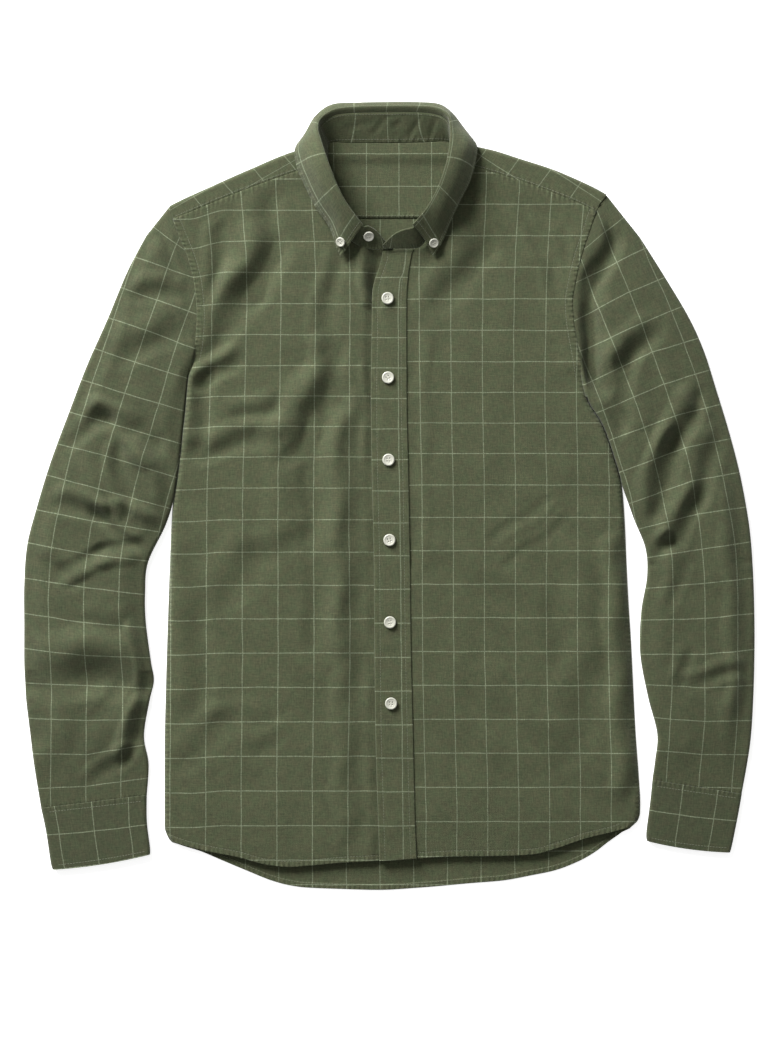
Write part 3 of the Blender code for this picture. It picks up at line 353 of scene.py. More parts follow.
COLLAR = table(
    CollarStation,  # base, crest, out and edge, each by its x, y, z
    (-33, 645.5, 10, -27, 661, 24, -37, 647.5, 19, -48.3, 631, 11.4),
    (-40, 651, 10, -34, 670, 27.5, -43.5, 657, 22, -53, 641.5, 11.4),
    (-49, 664, 9.6, -44, 684.5, 31, -52.5, 675, 26, -59.5, 660.5, 11.4),
    (-56, 681, 9.4, -52, 699.5, 33, -62, 691, 28, -73.5, 681, 11.2),
    (-60.5, 697, 9.3, -58.5, 715, 34, -71, 709, 28.5, -84.5, 703, 11),
    (-62.5, 713, 9, -64, 730, 33, -78, 727, 27, -92, 721, 10.8),
    (-62, 728, 6.8, -69, 745, 29.5, -84, 744, 21, -94, 738.5, 10.8),
    (-62, 743.5, 5.2, -72, 757.5, 25, -81.5, 757.5, 13, -85.5, 750.5, 2.6),
    (-58, 746.8, 3.3, -69, 768.5, 20.5, -73.6, 770.8, 10, -70, 752, 0.7),
    (-43, 747.2, 3.3, -54.5, 778, 17, -56.5, 780.6, 7, -46, 741, 0.7),
    (-22, 747.2, 3.3, -30, 780.5, 15.6, -30, 781.6, 6, -24, 737.5, 0.7),
    (-2, 747.2, 3.3, -3, 781, 15.2, -3, 782, 6, -2, 736.5, 0.7),
    (20, 747.4, 3.3, 27, 781, 15.6, 27, 782, 6, 22, 737, 0.7),
    (43, 748, 3.3, 47.5, 778.6, 17, 49.5, 780.6, 7, 44, 740, 0.7),
    (57, 748, 3.3, 58.5, 771, 20.5, 63.3, 773, 10, 65, 752, 0.7),
    (62, 744.5, 5.2, 61, 759, 25, 71.8, 761.5, 13, 78.5, 752, 2.6),
    (62.5, 729, 6.8, 61, 746, 29.5, 77, 748, 22, 86.5, 742, 12.8),
    (63, 713.5, 9, 59, 731, 33, 73.5, 732, 29, 86, 728, 14.4),
    (60.5, 698.5, 9.3, 55, 715, 34, 68, 711, 30, 80, 706, 15.4),
    (55.5, 684, 9.4, 49.5, 700, 33, 60.5, 693, 29, 70.5, 687, 15.4),
    (48, 667, 9.6, 42.5, 686, 31, 51.5, 677, 27.5, 61.5, 667.5, 14.6),
    (38, 652.5, 10.4, 33, 671.5, 29.5, 43, 659.5, 22, 53.5, 648, 13),
    (30, 642.6, 11, 23.7, 661, 27.5, 34, 648.5, 18.6, 44, 631.5, 11.4),
)
STAND_FOLDS = table(
    Crease,  # x0, y0, x1, y1, half_width, strength
    (-3.5, 771, -15.5, 755, 5, -0.9), (13.5, 774, 5.5, 761, 3.5, -0.7), (29.5, 768, 19.5, 753, 4.5, -1.1),
    (35.5, 774, 30.5, 765, 3, 0.7), (46.5, 770, 40.5, 753, 5, -0.9), (-39.5, 760, -17.5, 767, 6, -0.5),
    (2.5, 767, 12.5, 769, 3, 0.5),
)
LEFT_STAND_END = table(
    StandEnd,  # base and top, each by its x, y, z
    (3, 640.6, 9.2, 1, 643, 10.4), (-5, 639.6, 9.2, -5, 648, 13), (-15, 640, 9.2, -13, 656.5, 17.5),
    (-25, 641.8, 9.4, -21, 661, 21),
)
RIGHT_STAND_END = table(
    StandEnd,  # base and top, each by its x, y, z
    (21, 641.2, 11, 14.5, 657.5, 23), (10, 640.8, 11.4, 6, 654, 20), (1, 640.2, 11.6, -1, 648.5, 16.5),
    (-6, 640.4, 11.8, -6.8, 642.6, 13.2),
)

# The windowpane check, where its pale lines run on each panel.
LEFT_COLUMN_CHECKS = table(
    ColumnCheck,  # y, x, step
    (699, -43.5, 35), (609, -39.5, 34.3), (489, -40, 34.8), (384, -40.5, 35.4), (249, -39.5, 35.8),
    (114, -41.5, 35.5),
)
RIGHT_COLUMN_CHECKS = table(
    ColumnCheck,  # y, x, step
    (699, 31.5, 32.6), (609, 29.5, 31.8), (489, 30.5, 31.2), (384, 32.5, 31.1), (249, 33, 30.9),
    (114, 35.5, 31), (79, 36.5, 30.8),
)
LEFT_ROW_CHECKS = table(
    RowCheck,  # y, number
    (740, -2), (678, 0), (523, 5), (401, 9), (304, 12), (202, 15), (64, 19), (-5, 21),
)
RIGHT_ROW_CHECKS = table(
    RowCheck,  # y, number
    (746, -2), (684, 0), (527, 5), (404, 9), (305, 12), (204, 15), (68, 19), (-2, 21),
)
PLACKET_ROW_CHECKS = table(
    RowCheck,  # y, number
    (642, -2), (611, -1), (581, 0), (429, 5), (366, 7), (300, 9), (232, 11), (64, 16), (-5, 18),
)
PLACKET_LINE = table(
    Point,  # x, y
    (17.2, 648), (14, 616), (10.5, 609), (8.8, 586), (8.8, 489), (10.3, 384), (13.5, 64), (14, 20),
)
LEFT_SLEEVE_ROWS = table(
    AcrossCheck,  # outer, middle and inner, each by its x, y
    (-233.5, 660, -218, 648, -202.5, 637), (-250.5, 630, -236, 625, -221.5, 620),
    (-262.5, 599, -231.5, 588, -208.5, 580), (-274.5, 569, -242.5, 558, -207.5, 545),
    (-288.5, 538, -253.5, 526, -204.5, 511), (-304.5, 508, -263.5, 495, -204.5, 478),
    (-317.5, 476, -273.5, 464, -208.5, 445), (-327.5, 444, -282.5, 433, -213.5, 412),
    (-335.5, 412, -289.5, 400, -221.5, 381), (-349.5, 379, -296.5, 368, -228.5, 357),
    (-359.5, 346, -301.5, 335, -249.5, 329), (-363.5, 311, -304.5, 302, -247.5, 295),
    (-363.5, 276, -305.5, 267, -247.5, 262), (-363.5, 241, -304.5, 234, -249.5, 232),
    (-362.5, 206, -302.5, 204, -237.5, 201), (-359.5, 171, -301.5, 169, -241.5, 171),
    (-353.5, 136, -301.5, 135, -243.5, 145), (-348.5, 101, -303.5, 103, -243.5, 111),
)
RIGHT_SLEEVE_ROWS = table(
    AcrossCheck,  # outer, middle and inner, each by its x, y
    (232.5, 670, 214.5, 656, 196.5, 641), (255.5, 640, 226.5, 626, 206.5, 616),
    (272.5, 610, 238.5, 596, 196.5, 574), (288.5, 581, 251.5, 565, 198.5, 541),
    (307.5, 550, 261.5, 536, 203.5, 508), (317.5, 518, 272.5, 504, 211.5, 478),
    (329.5, 484, 284.5, 473, 223.5, 450), (339.5, 450, 294.5, 441, 232.5, 418),
    (347.5, 416, 301.5, 408, 241.5, 386), (354.5, 382, 307.5, 375, 256.5, 362),
    (359.5, 347, 311.5, 340, 260.5, 332), (362.5, 311, 314.5, 306, 258.5, 301),
    (363.5, 276, 314.5, 271, 250.5, 269), (363.5, 240, 314.5, 235, 250.5, 235),
    (362.5, 204, 314.5, 202, 254.5, 205), (362.5, 169, 314.5, 168, 262.5, 172),
    (356.5, 135, 312.5, 135, 267.5, 139),
)
LEFT_SLEEVE_COLUMNS = table(
    AlongCheck,  # y, first_x, second_x, third_x
    (670, -238, -201, -165), (627, -255.5, -219, -183), (589, -268.8, -231.5, -196),
    (544, -283.8, -247.5, -212.5), (489, -301.7, -265.8, -228.5), (439, -316.2, -281, -244),
    (389, -327.7, -292, -256.9), (339, -336.8, -301, -266.8), (289, -340, -304.9, -269.8),
    (189, -337.1, -302.1, -265.9), (99, -338.5, -303.2, -268.4),
)
RIGHT_SLEEVE_COLUMNS = table(
    AlongCheck,  # y, first_x, second_x, third_x
    (680, 240, 206, 172), (627, 259, 226.5, 192), (589, 276.4, 242, 205.2), (544, 294, 258.9, 223.2),
    (489, 312.9, 278.7, 244.2), (439, 326.3, 294.9, 260.7), (389, 336.8, 305, 273.2),
    (339, 344.8, 311.7, 280.6), (289, 347.1, 314.5, 282.9), (189, 347.1, 314.5, 281.1),
    (99, 341.5, 308.5, 275.5),
)
COLLAR_CHECKS = table(
    RollCheck,  # station, number
    (-5, -6.75), (-2.5, -6), (1.1, -5), (3.1, -4), (5.1, -3), (7.45, -2), (9.8, -1), (11.02, 0), (12.1, 1),
    (14.6, 2), (17.2, 3), (19.05, 4), (21, 5), (24.5, 6), (27.5, 6.75),
)

FRONT_BUTTONS = table(
    Point,  # x, y
    (-2, 590), (-1.5, 511), (-1, 429), (0, 349), (0.5, 267), (1.5, 186),
)
LEFT_POINT_BUTTON = Point(x=-48.0, y=646.0)
RIGHT_POINT_BUTTON = Point(x=43.7, y=645.0)
STAND_BUTTON = Point(x=-20.7, y=652.0)

BACK_HEM_SPAN = Span(start=-196.0, end=214.0, count=300)
YOKE_FRONT_SPANS = (Span(start=-214.0, end=-68.0, count=110), Span(start=68.0, end=204.0, count=110))
YOKE_BACK_SPAN = Span(start=-190.0, end=190.0, count=280)

# ---------------- curves and heights

SLANT_WANDER = 2.6
FAR = 999.0
BUTTON_REACH = 0.0025


def mix(a: Any, b: Any, share: Any) -> Any:
    """A value between two others, at a share of the way."""
    return a + (b - a) * share


def ease(share: Any) -> Array:
    """A smooth step from 0 to 1."""
    share = np.clip(share, 0.0, 1.0)
    return share * share * (3.0 - 2.0 * share)


def rounded(distance: Array, width: float) -> Array:
    """The share of its full height that rolled cloth has at a distance from its folded edge."""
    share = np.clip(distance / width, 0.0, 1.0)
    return np.sqrt(1.0 - (1.0 - share) ** 2)


class Curve:
    """A smooth curve through knots that doesn't overshoot them, and is level past its ends."""

    def __init__(self, knots: Sequence[float], values: Sequence[float]) -> None:
        """Fits the curve.

        Args:
            knots: Where the curve is given, all rising or all falling.
            values: Its value at each knot.
        """
        order = np.argsort(knots)
        self.knots = np.asarray(knots, float)[order]
        self.values = np.asarray(values, float)[order]
        slopes = np.diff(self.values) / np.diff(self.knots)
        before, after = slopes[:-1], slopes[1:]
        turning = before * after <= 0.0
        total = np.where(turning, 1.0, before + after)
        inner = np.where(turning, 0.0, 2.0 * before * after / total)
        self.tangents = np.concatenate([slopes[:1], inner, slopes[-1:]])

    def __call__(self, at: Any) -> Array:
        """The curve's value at each place in at."""
        at = np.clip(at, self.knots[0], self.knots[-1])
        i = np.clip(np.searchsorted(self.knots, at, side="right") - 1, 0, len(self.knots) - 2)
        width = self.knots[i + 1] - self.knots[i]
        t = (at - self.knots[i]) / width
        ends = self.values[i] * (2 * t**3 - 3 * t**2 + 1) + self.values[i + 1] * (3 * t**2 - 2 * t**3)
        pull = (t**3 - 2 * t**2 + t) * self.tangents[i] + (t**3 - t**2) * self.tangents[i + 1]
        return ends + pull * width


def curve_of(rows: Sequence[Any], knot: str, value: str) -> Curve:
    """One column of a table as a curve over another."""
    return Curve([getattr(row, knot) for row in rows], [getattr(row, value) for row in rows])


def down_curve(rows: Sequence[Point]) -> Curve:
    """x as a curve of y."""
    return curve_of(rows, "y", "x")


def across_curve(rows: Sequence[Point]) -> Curve:
    """y as a curve of x."""
    return curve_of(rows, "x", "y")


def together(*columns: Any) -> Array:
    """Arrays as the columns of a new last axis, all spread to one shape."""
    return np.stack(np.broadcast_arrays(*columns), axis=-1)


def between_rows(before: Any, start: Any, end: Any, after: Any, t: Any) -> Array:
    """A smooth way from a start at t = 0 to an end at t = 1, between the rows before and after them."""
    bend = 3.0 * (start - end) + after - before
    return start + 0.5 * t * (end - before + t * (2.0 * before - 5.0 * start + 4.0 * end - after + t * bend))


def doubled_below(height: Array, hem_width: float, edge: float) -> Array:
    """1 where cloth is doubled by a hem, and 0 above it, with a short slope between."""
    return 1.0 - ease((height - hem_width) / edge)


def stitched(distance: Array, inset: float, width: float) -> Array:
    """The share of its full depth that the groove of a row of stitches has at a distance from an edge."""
    return np.exp(-(((distance - inset) / width) ** 2))


class Stations:
    """A table's rows with a smooth curve through each of its columns."""

    def __init__(self, rows: Sequence[Sequence[float]]) -> None:
        """Keeps the rows as one array."""
        self.rows = np.array(rows, float)

    @property
    def last(self) -> float:
        """The position of the last row."""
        return len(self.rows) - 1.0

    def at(self, position: Any) -> Array:
        """The row at a position between the rows, with the columns on the last axis."""
        position = np.clip(position, 0.0, self.last)
        i = np.minimum(position.astype(int), len(self.rows) - 2)
        t = (position - i)[..., None]
        return between_rows(*(self.rows[np.clip(i + k, 0, len(self.rows) - 1)] for k in (-1, 0, 1, 2)), t)


def flat_widths(row: Array) -> Array:
    """The millimetres from each row's outer end to its inner one, as a column."""
    return np.hypot(row[:, 0] - row[:, 2], row[:, 1] - row[:, 3])[:, None] * LAYOUT.unit


def crease_share(line: Crease, x: Array, y: Array) -> Array:
    """The share of its strength that a crease has at each point: 1 on its line, 0 past its half width."""
    along_x, along_y = line.x1 - line.x0, line.y1 - line.y0
    reach = (x - line.x0) * along_x + (y - line.y0) * along_y
    t = np.clip(reach / (along_x**2 + along_y**2), 0.0, 1.0)
    away = np.hypot(x - line.x0 - t * along_x, y - line.y0 - t * along_y) / line.half_width
    return np.clip(1.0 - away**2, 0.0, None) ** 2


def relief(folds: Sequence[Crease], x: Array, y: Array) -> Array:
    """How far the folds lift or sink the cloth at each point."""
    return sum((f.strength * crease_share(f, x, y) for f in folds), np.zeros(np.broadcast(x, y).shape))


def slanting(slants: Sequence[Crease], x: Array, y: Array) -> Array:
    """How far the ridges and troughs beside the slants lift or sink the cloth at each point."""
    total = np.zeros(np.broadcast(x, y).shape)
    wander_x = SLANT_WANDER * np.sin(y / 13.0 + np.sin(x / 17.0))
    wander_y = SLANT_WANDER * np.sin(x / 11.0 + np.sin(y / 19.0))
    x, y = x + wander_x, y + wander_y
    for s in slants:
        along_x, along_y = s.x1 - s.x0, s.y1 - s.y0
        length = math.copysign(math.hypot(along_x, along_y), along_x + along_y)
        over = ((x - s.x0) * along_y - (y - s.y0) * along_x) / length
        total -= s.strength * over * crease_share(s, x, y)
    return total


def drape(x: Array, y: Array, height: float) -> Array:
    """The slow rise and fall of cloth that was smoothed out by hand, as three waves of uneven lengths."""
    wave = np.sin(x / 23.0 + np.sin(y / 41.0) * 1.7) * np.sin(y / 31.0 + np.sin(x / 37.0) * 1.3)
    finer = np.sin(x / 9.0 + y / 17.0 + 1.1) * np.sin(y / 12.0 - x / 21.0)
    finest = np.sin(x / 5.1 - y / 8.7 + np.sin(y / 14.0) * 2.0)
    finest = finest * np.sin(y / 6.3 + x / 11.0 + np.sin(x / 19.0) * 2.0)
    return height * (0.6 * wave + 0.4 * finer + 0.11 * finest)


def spaced(*stretches: tuple[float, float, float]) -> Array:
    """Rising distances, one stretch after another.

    Args:
        stretches: For each stretch its start, its end and the step within it.

    Returns:
        All the distances, each stretch with its start and the last one also with its end.
    """
    parts = [np.linspace(a, b, max(2, round((b - a) / step) + 1))[:-1] for a, b, step in stretches]
    return np.concatenate([*parts, [stretches[-1][1]]])


def index_among(marks: Sequence[Array], at: Array) -> Array:
    """Where a value lies among rising marks: 0 at the first, 1 at the second, and on past both ends."""
    index = (at - marks[0]) / (marks[1] - marks[0])
    for k in range(1, len(marks) - 1):
        here = (at - marks[k]) / (marks[k + 1] - marks[k])
        index = np.where(here > 0, k + here, index)
    return index


# ---------------- objects, the layout and its cloth


def placed(name: str, data: Any) -> Object:
    """Puts a mesh, a light or a camera into the scene as an object."""
    made = bpy.data.objects.new(name, data)
    bpy.context.scene.collection.objects.link(made)
    return made


def taken(name: str, shape: BMesh, look: Material | None = None) -> Object:
    """Turns a mesh under construction into an object with a look."""
    mesh = bpy.data.meshes.new(name)
    shape.to_mesh(mesh)
    shape.free()
    if look is not None:
        mesh.materials.append(look)
    return placed(name, mesh)


def settled(piece: Object) -> Mesh:
    """Makes what a piece's modifiers do to it real, and returns its new mesh."""
    graph = bpy.context.evaluated_depsgraph_get()
    mesh = bpy.data.meshes.new_from_object(
        piece.evaluated_get(graph), preserve_all_data_layers=True, depsgraph=graph
    )
    piece.modifiers.clear()
    piece.data = mesh
    return mesh


@dataclass(frozen=True)
class Layout:
    """The table-top layout in the frame's metres."""

    unit: float = 1.04
    middle_x: float = -0.24
    middle_y: float = 393.05

    def place(self, x: Any, y: Any, z: Any) -> Array:
        """Layout points in the frame, with x, y and z on the last axis."""
        scale = self.unit * MM
        return together((x - self.middle_x) * scale, (y - self.middle_y) * scale, z * MM)

    def read(self, points: Array) -> Array:
        """Points of the frame in the layout, with x, y and z on the last axis."""
        scale = self.unit * MM
        x, y, z = np.moveaxis(points, -1, 0)
        return together(x / scale + self.middle_x, y / scale + self.middle_y, z / MM)


LAYOUT = Layout()


@dataclass(frozen=True)
class Side:
    """One side of the body, with its outline and the ends of its armhole."""

    outward: float
    outline: Curve
    shoulder_y: float
    armpit_y: float
    seam_share: float

    @property
    def left(self) -> bool:
        """Whether this is the left side."""
        return self.outward < 0

    @property
    def name(self) -> str:
        """The side's word in the pieces' names."""
        return "left" if self.left else "right"


LEFT = Side(-1.0, down_curve(LEFT_OUTLINE), shoulder_y=681.4, armpit_y=512.0, seam_share=1.0)
RIGHT = Side(1.0, down_curve(RIGHT_OUTLINE), shoulder_y=693.0, armpit_y=491.0, seam_share=0.4)


@dataclass(frozen=True)
class Lattice:
    """A straight check: a crossing of two pale lines, and the steps to the next crossings."""

    x: float
    y: float
    u_step: tuple[float, float]
    v_step: tuple[float, float]

    def at(self, x: Array, y: Array) -> Array:
        """The check's numbers at layout points."""
        (a, b), (c, d) = self.u_step, self.v_step
        area = a * d - b * c
        from_x, from_y = x - self.x, y - self.y
        return together((from_x * d - from_y * c) / area, (from_y * a - from_x * b) / area)


class Grain(Enum):
    """The two maps that a piece of cloth carries."""

    CUT = "Cut"
    SEAM = "Seam"


@dataclass
class Panel:
    """One piece of cloth: a grid of points on its outer side, and where each lies in the cut.

    cut holds the check's numbers. seam holds the millimetres to the nearest seam or hem and along it. A
    closed panel joins its last column to its first, and its maps have one column more. From the row
    turned on, the faces read second_cut.
    """

    name: str
    points: Array
    cut: Array
    seam: Array
    closed: bool = False
    doubled: Array | None = None
    turned: int | None = None
    second_cut: Array | None = None

    def normals(self) -> Array:
        """The outward direction at each point."""
        down = np.gradient(self.points, axis=0)
        if self.closed:
            across = np.roll(self.points, -1, axis=1) - np.roll(self.points, 1, axis=1)
        else:
            across = np.gradient(self.points, axis=1)
        normal = np.cross(across, down)
        return normal / np.maximum(np.linalg.norm(normal, axis=-1, keepdims=True), 1e-12)

    def mirrored(self) -> "Panel":
        """The same closed piece with its columns in the other order round, from the same first one."""
        points = np.concatenate([self.points[:, :1], self.points[:, :0:-1]], axis=1)
        return replace(self, points=points, cut=self.cut[:, ::-1], seam=self.seam[:, ::-1])

    def surface(self, row: Array, column: Array) -> Array:
        """Layout points of the grid at rows and columns that may lie between its own."""
        i = np.clip(np.floor(row).astype(int), 0, self.points.shape[0] - 2)
        j = np.clip(np.floor(column).astype(int), 0, self.points.shape[1] - 2)
        down, across = (row - i)[:, None], (column - j)[:, None]
        upper = mix(self.points[i, j], self.points[i, j + 1], across)
        lower = mix(self.points[i + 1, j], self.points[i + 1, j + 1], across)
        return LAYOUT.read(mix(upper, lower, down))

    def row_at(self, from_end: float, low: bool = False) -> float:
        """The grid row that lies some millimetres from the first end, or from the last one if low."""
        middle = self.points[:, self.points.shape[1] // 2]
        step = np.linalg.norm(np.diff(middle, axis=0), axis=1) / MM
        along = np.concatenate([[0.0], np.cumsum(step)])
        return float(np.interp(along[-1] - from_end if low else from_end, along, np.arange(len(along))))

    def build(self, thickness: float, look: Material, offset: float = -1.0) -> Object:
        """Makes the piece as a thin shell.

        Args:
            thickness: Of the cloth, in millimetres, where it is doubled if any of it is.
            look: Its material.
            offset: -1 for a wall behind the grid, 0 for one half to each side.

        Returns:
            The piece.
        """
        rows, columns = self.points.shape[:2]
        shown = ~np.isnan(self.points[..., 2])
        number = np.full((rows, columns), -1)
        number[shown] = np.arange(shown.sum())
        faces, cuts, seams = [], [], []
        for i in range(rows - 1):
            cut = self.cut if self.turned is None or i < self.turned else self.second_cut
            for j in range(columns if self.closed else columns - 1):
                k = (j + 1) % columns
                corners = (number[i, j], number[i, k], number[i + 1, k], number[i + 1, j])
                if min(corners) < 0:
                    continue
                faces.append(corners)
                cuts += [cut[i, j], cut[i, j + 1], cut[i + 1, j + 1], cut[i + 1, j]]
                seams += [self.seam[i, j], self.seam[i, j + 1], self.seam[i + 1, j + 1], self.seam[i + 1, j]]
        mesh = bpy.data.meshes.new(self.name)
        mesh.from_pydata(self.points[shown].tolist(), [], [tuple(map(int, f)) for f in faces])
        for grain, values in ((Grain.CUT, cuts), (Grain.SEAM, seams)):
            layer = mesh.uv_layers.new(name=grain.value)
            layer.data.foreach_set("uv", np.array(values, dtype=np.float32).ravel())
        mesh.materials.append(look)
        mesh.shade_smooth()
        piece = placed(self.name, mesh)
        wall = piece.modifiers.new("cloth", "SOLIDIFY")
        wall.thickness = thickness * MM
        wall.offset = offset
        if self.doubled is not None:
            group = piece.vertex_groups.new(name="doubled")
            for index, weight in enumerate(self.doubled[shown]):
                group.add([index], float(weight), "REPLACE")
            wall.vertex_group = group.name
            wall.thickness_vertex_group = 0.5
        self.seat(settled(piece))
        return piece

    def seat(self, mesh: Mesh) -> None:
        """Keeps all of a shell above the table."""
        places = np.empty(len(mesh.vertices) * 3)
        mesh.vertices.foreach_get("co", places)
        places[2::3] = np.maximum(places[2::3], 0.0)
        mesh.vertices.foreach_set("co", places)
        mesh.update()


@dataclass
class Body:
    """The heights of the fronts over the table, which the seams and folds set."""

    rise: float = 7.0
    hem_rise: float = 5.8
    armhole_rise: float = 9.0
    yoke_rise: float = 8.2
    side_roll: float = 7.0
    lowest: float = 3.4
    clearance: float = 0.45
    armpit_climb: float = 36.0
    armhole_blend: float = 26.0
    hem_climb: float = 45.0
    yoke_climb: float = 30.0
    neck_half: float = 66.0
    unevenness: float = 0.75
    hem: Curve = across_curve(FRONT_HEM)
    yoke_left: Curve = across_curve(YOKE_FRONT_LEFT)
    yoke_right: Curve = across_curve(YOKE_FRONT_RIGHT)
    folds: tuple[Crease, ...] = BODY_FOLDS
    slants: tuple[Crease, ...] = BODY_SLANTS

    def armhole_height(self, y: Array, side: Side) -> Array:
        """Height of the cloth along an armhole; at the armpit it comes down to the table."""
        return mix(self.clearance, self.armhole_rise, ease((y - side.armpit_y) / self.armpit_climb))

    def yoke_seam(self, x: Array) -> Array:
        """Where the yoke's front seam crosses."""
        return np.where(x < 0, self.yoke_left(x), self.yoke_right(x))

    def inner_height(self, x: Array, y: Array) -> Array:
        """Height of the fronts away from their folded sides."""
        rise = self.rise + relief(self.folds, x, y) + drape(x, y, self.unevenness)
        rise = rise + slanting(self.slants, x, y)
        rise = mix(self.hem_rise, rise, ease((y - self.hem(x)) / self.hem_climb))
        near_yoke = 1.0 - ease((self.yoke_seam(x) - y) / self.yoke_climb)
        near_yoke = np.where(np.abs(x) < self.neck_half, 0.0, near_yoke)
        return np.maximum(self.lowest, mix(rise, self.yoke_rise, near_yoke))

    def height(self, x: Array, y: Array, side: Side) -> Array:
        """Height of a front, with its armhole and its folded side."""
        distance = np.abs(x - side.outline(y))
        edge = self.armhole_height(y, side)
        middle = self.inner_height(x, y)
        inside = mix(np.maximum(edge, self.lowest), middle, ease(distance / self.armhole_blend))
        away_from_pit = ease((y - side.armpit_y) / self.armpit_climb)
        inside = mix(middle, inside, away_from_pit)
        return mix(edge, inside, rounded(distance, self.side_roll))


BODY = Body()

# ---------------- pieces of the body


@dataclass
class Front:
    """A front panel, from the hem up to the yoke's seam and the neck."""

    side: Side
    cloth: float = 1.1
    yoke_share: float = 0.66
    nominal_length: float = 640.0
    nominal_width: float = 225.0
    lap_x: float = 14.0
    gap: float = 0.3
    yoke_tuck: float = 2.6
    neck_tuck: float = 1.2
    tuck_sink: float = 0.9
    overlap_drop: float = 2.1
    drop_width: float = 9.0
    hem_width: float = 5.8
    hem_edge: float = 0.8
    hem_corner_y: float = 60.0
    hem_row_inset: float = 4.0
    hem_row_points: int = 240
    armhole_row_start: float = 14.0
    armhole_row_points: int = 160
    stitch_sink: float = 0.25
    stitch_width: float = 0.9
    armhole_stitch: float = 8.0
    armhole_stitch_width: float = 1.1
    armhole_stitch_from: float = 10.0
    armhole_stitch_climb: float = 30.0
    tuck_from: float = 0.6
    tuck_width: float = 1.6
    droop: float = 2.0
    droop_top: float = 7.0
    droop_top_y: float = 560.0
    droop_climb: float = 110.0
    droop_x: float = -163.5
    droop_width: float = 38.0
    placket_left: Curve = down_curve(PLACKET_LEFT)

    def __post_init__(self) -> None:
        """Picks this side's tables."""
        left = self.side.left
        seam = YOKE_FRONT_LEFT if left else YOKE_FRONT_RIGHT
        self.seam = across_curve(seam)
        self.neck = across_curve(NECK_LEFT if left else NECK_RIGHT)
        self.side_x = seam[0].x if left else seam[-1].x
        self.corner_x = self.side.outward * BODY.neck_half
        self.top_centre_x = self.lap_x if left else PLACKET_LEFT[0].x
        columns = LEFT_COLUMN_CHECKS if left else RIGHT_COLUMN_CHECKS
        rows = LEFT_ROW_CHECKS if left else RIGHT_ROW_CHECKS
        self.check_x = curve_of(columns, "y", "x")
        self.check_step = curve_of(columns, "y", "step")
        self.check_row = curve_of(rows, "y", "number")

    def centre_x(self, y: Array) -> Array:
        """The panel's edge at the button line."""
        return np.full(np.shape(y), self.lap_x) if self.side.left else self.placket_left(y) + self.gap

    def top(self, share: Array) -> tuple[Array, Array]:
        """The upper edge, along the yoke's seam and on round the neck."""
        by_yoke = share < self.yoke_share
        seam_x = mix(self.side_x, self.corner_x, share / self.yoke_share)
        neck_x = mix(self.corner_x, self.top_centre_x, (share - self.yoke_share) / (1.0 - self.yoke_share))
        seam_y = self.seam(seam_x) + self.yoke_tuck
        neck_y = self.neck(neck_x) + self.neck_tuck
        return np.where(by_yoke, seam_x, neck_x), np.where(by_yoke, seam_y, neck_y)

    def plan(self, share: Array, up: Array) -> tuple[Array, Array]:
        """Layout x and y at a share of the way in from the side and of the way up."""
        top_x, top_y = self.top(share)
        hem_x = mix(self.side.outline(0.0), self.centre_x(np.zeros(share.shape)), share)
        y = mix(BODY.hem(hem_x), top_y, up)
        top_side, top_centre = self.side.outline(top_y), self.centre_x(top_y)
        top_share = np.where(share > 0, (top_x - top_side) / (top_centre - top_side), 0.0)
        x = mix(self.side.outline(y), self.centre_x(y), mix(share, top_share, ease(up)))
        return x, y

    def height(self, x: Array, y: Array) -> Array:
        """Height of the panel, with the dip below the placket, the hem's stitch and the tucked top."""
        z = BODY.height(x, y, self.side)
        if self.side.left:
            under = (x - self.placket_left(y) + self.drop_width) / self.drop_width
            z = z - self.overlap_drop * ease(under)
        above_hem = (y - BODY.hem(x)) * LAYOUT.unit
        z = z - self.stitch_sink * stitched(above_hem, self.hem_width, self.stitch_width)
        from_side = np.abs(x - self.side.outline(y)) * LAYOUT.unit
        by_armhole = ease((y - self.side.armpit_y - self.armhole_stitch_from) / self.armhole_stitch_climb)
        groove = stitched(from_side, self.armhole_stitch, self.armhole_stitch_width)
        z = z - by_armhole * self.stitch_sink * groove
        past_seam = np.where(np.abs(x) > BODY.neck_half, y - self.seam(x) + self.tuck_from, 0.0)
        return z - self.tuck_sink * ease(past_seam / self.tuck_width)

    def checks(self, x: Array, y: Array) -> Array:
        """The check's numbers."""
        u = (x - self.check_x(y)) / self.check_step(y)
        sag = 0.0
        if self.side.left:
            sag = self.droop + self.droop_top * ease((y - self.droop_top_y) / self.droop_climb)
            sag = sag * ease((self.droop_x - x) / self.droop_width)
        return together(u, self.check_row(y + sag))

    def seams(self, x: Array, y: Array) -> Array:
        """Millimetres to the nearest of hem, side and yoke seam, and along it."""
        above_hem = y - BODY.hem(x)
        from_side = np.abs(x - self.side.outline(y))
        below_yoke = np.where(np.abs(x) > BODY.neck_half, self.seam(x) - y, FAR)
        nearest = np.minimum(np.minimum(above_hem, from_side), np.abs(below_yoke))
        along = np.where(nearest == from_side, y, x)
        return together(nearest, along) * LAYOUT.unit

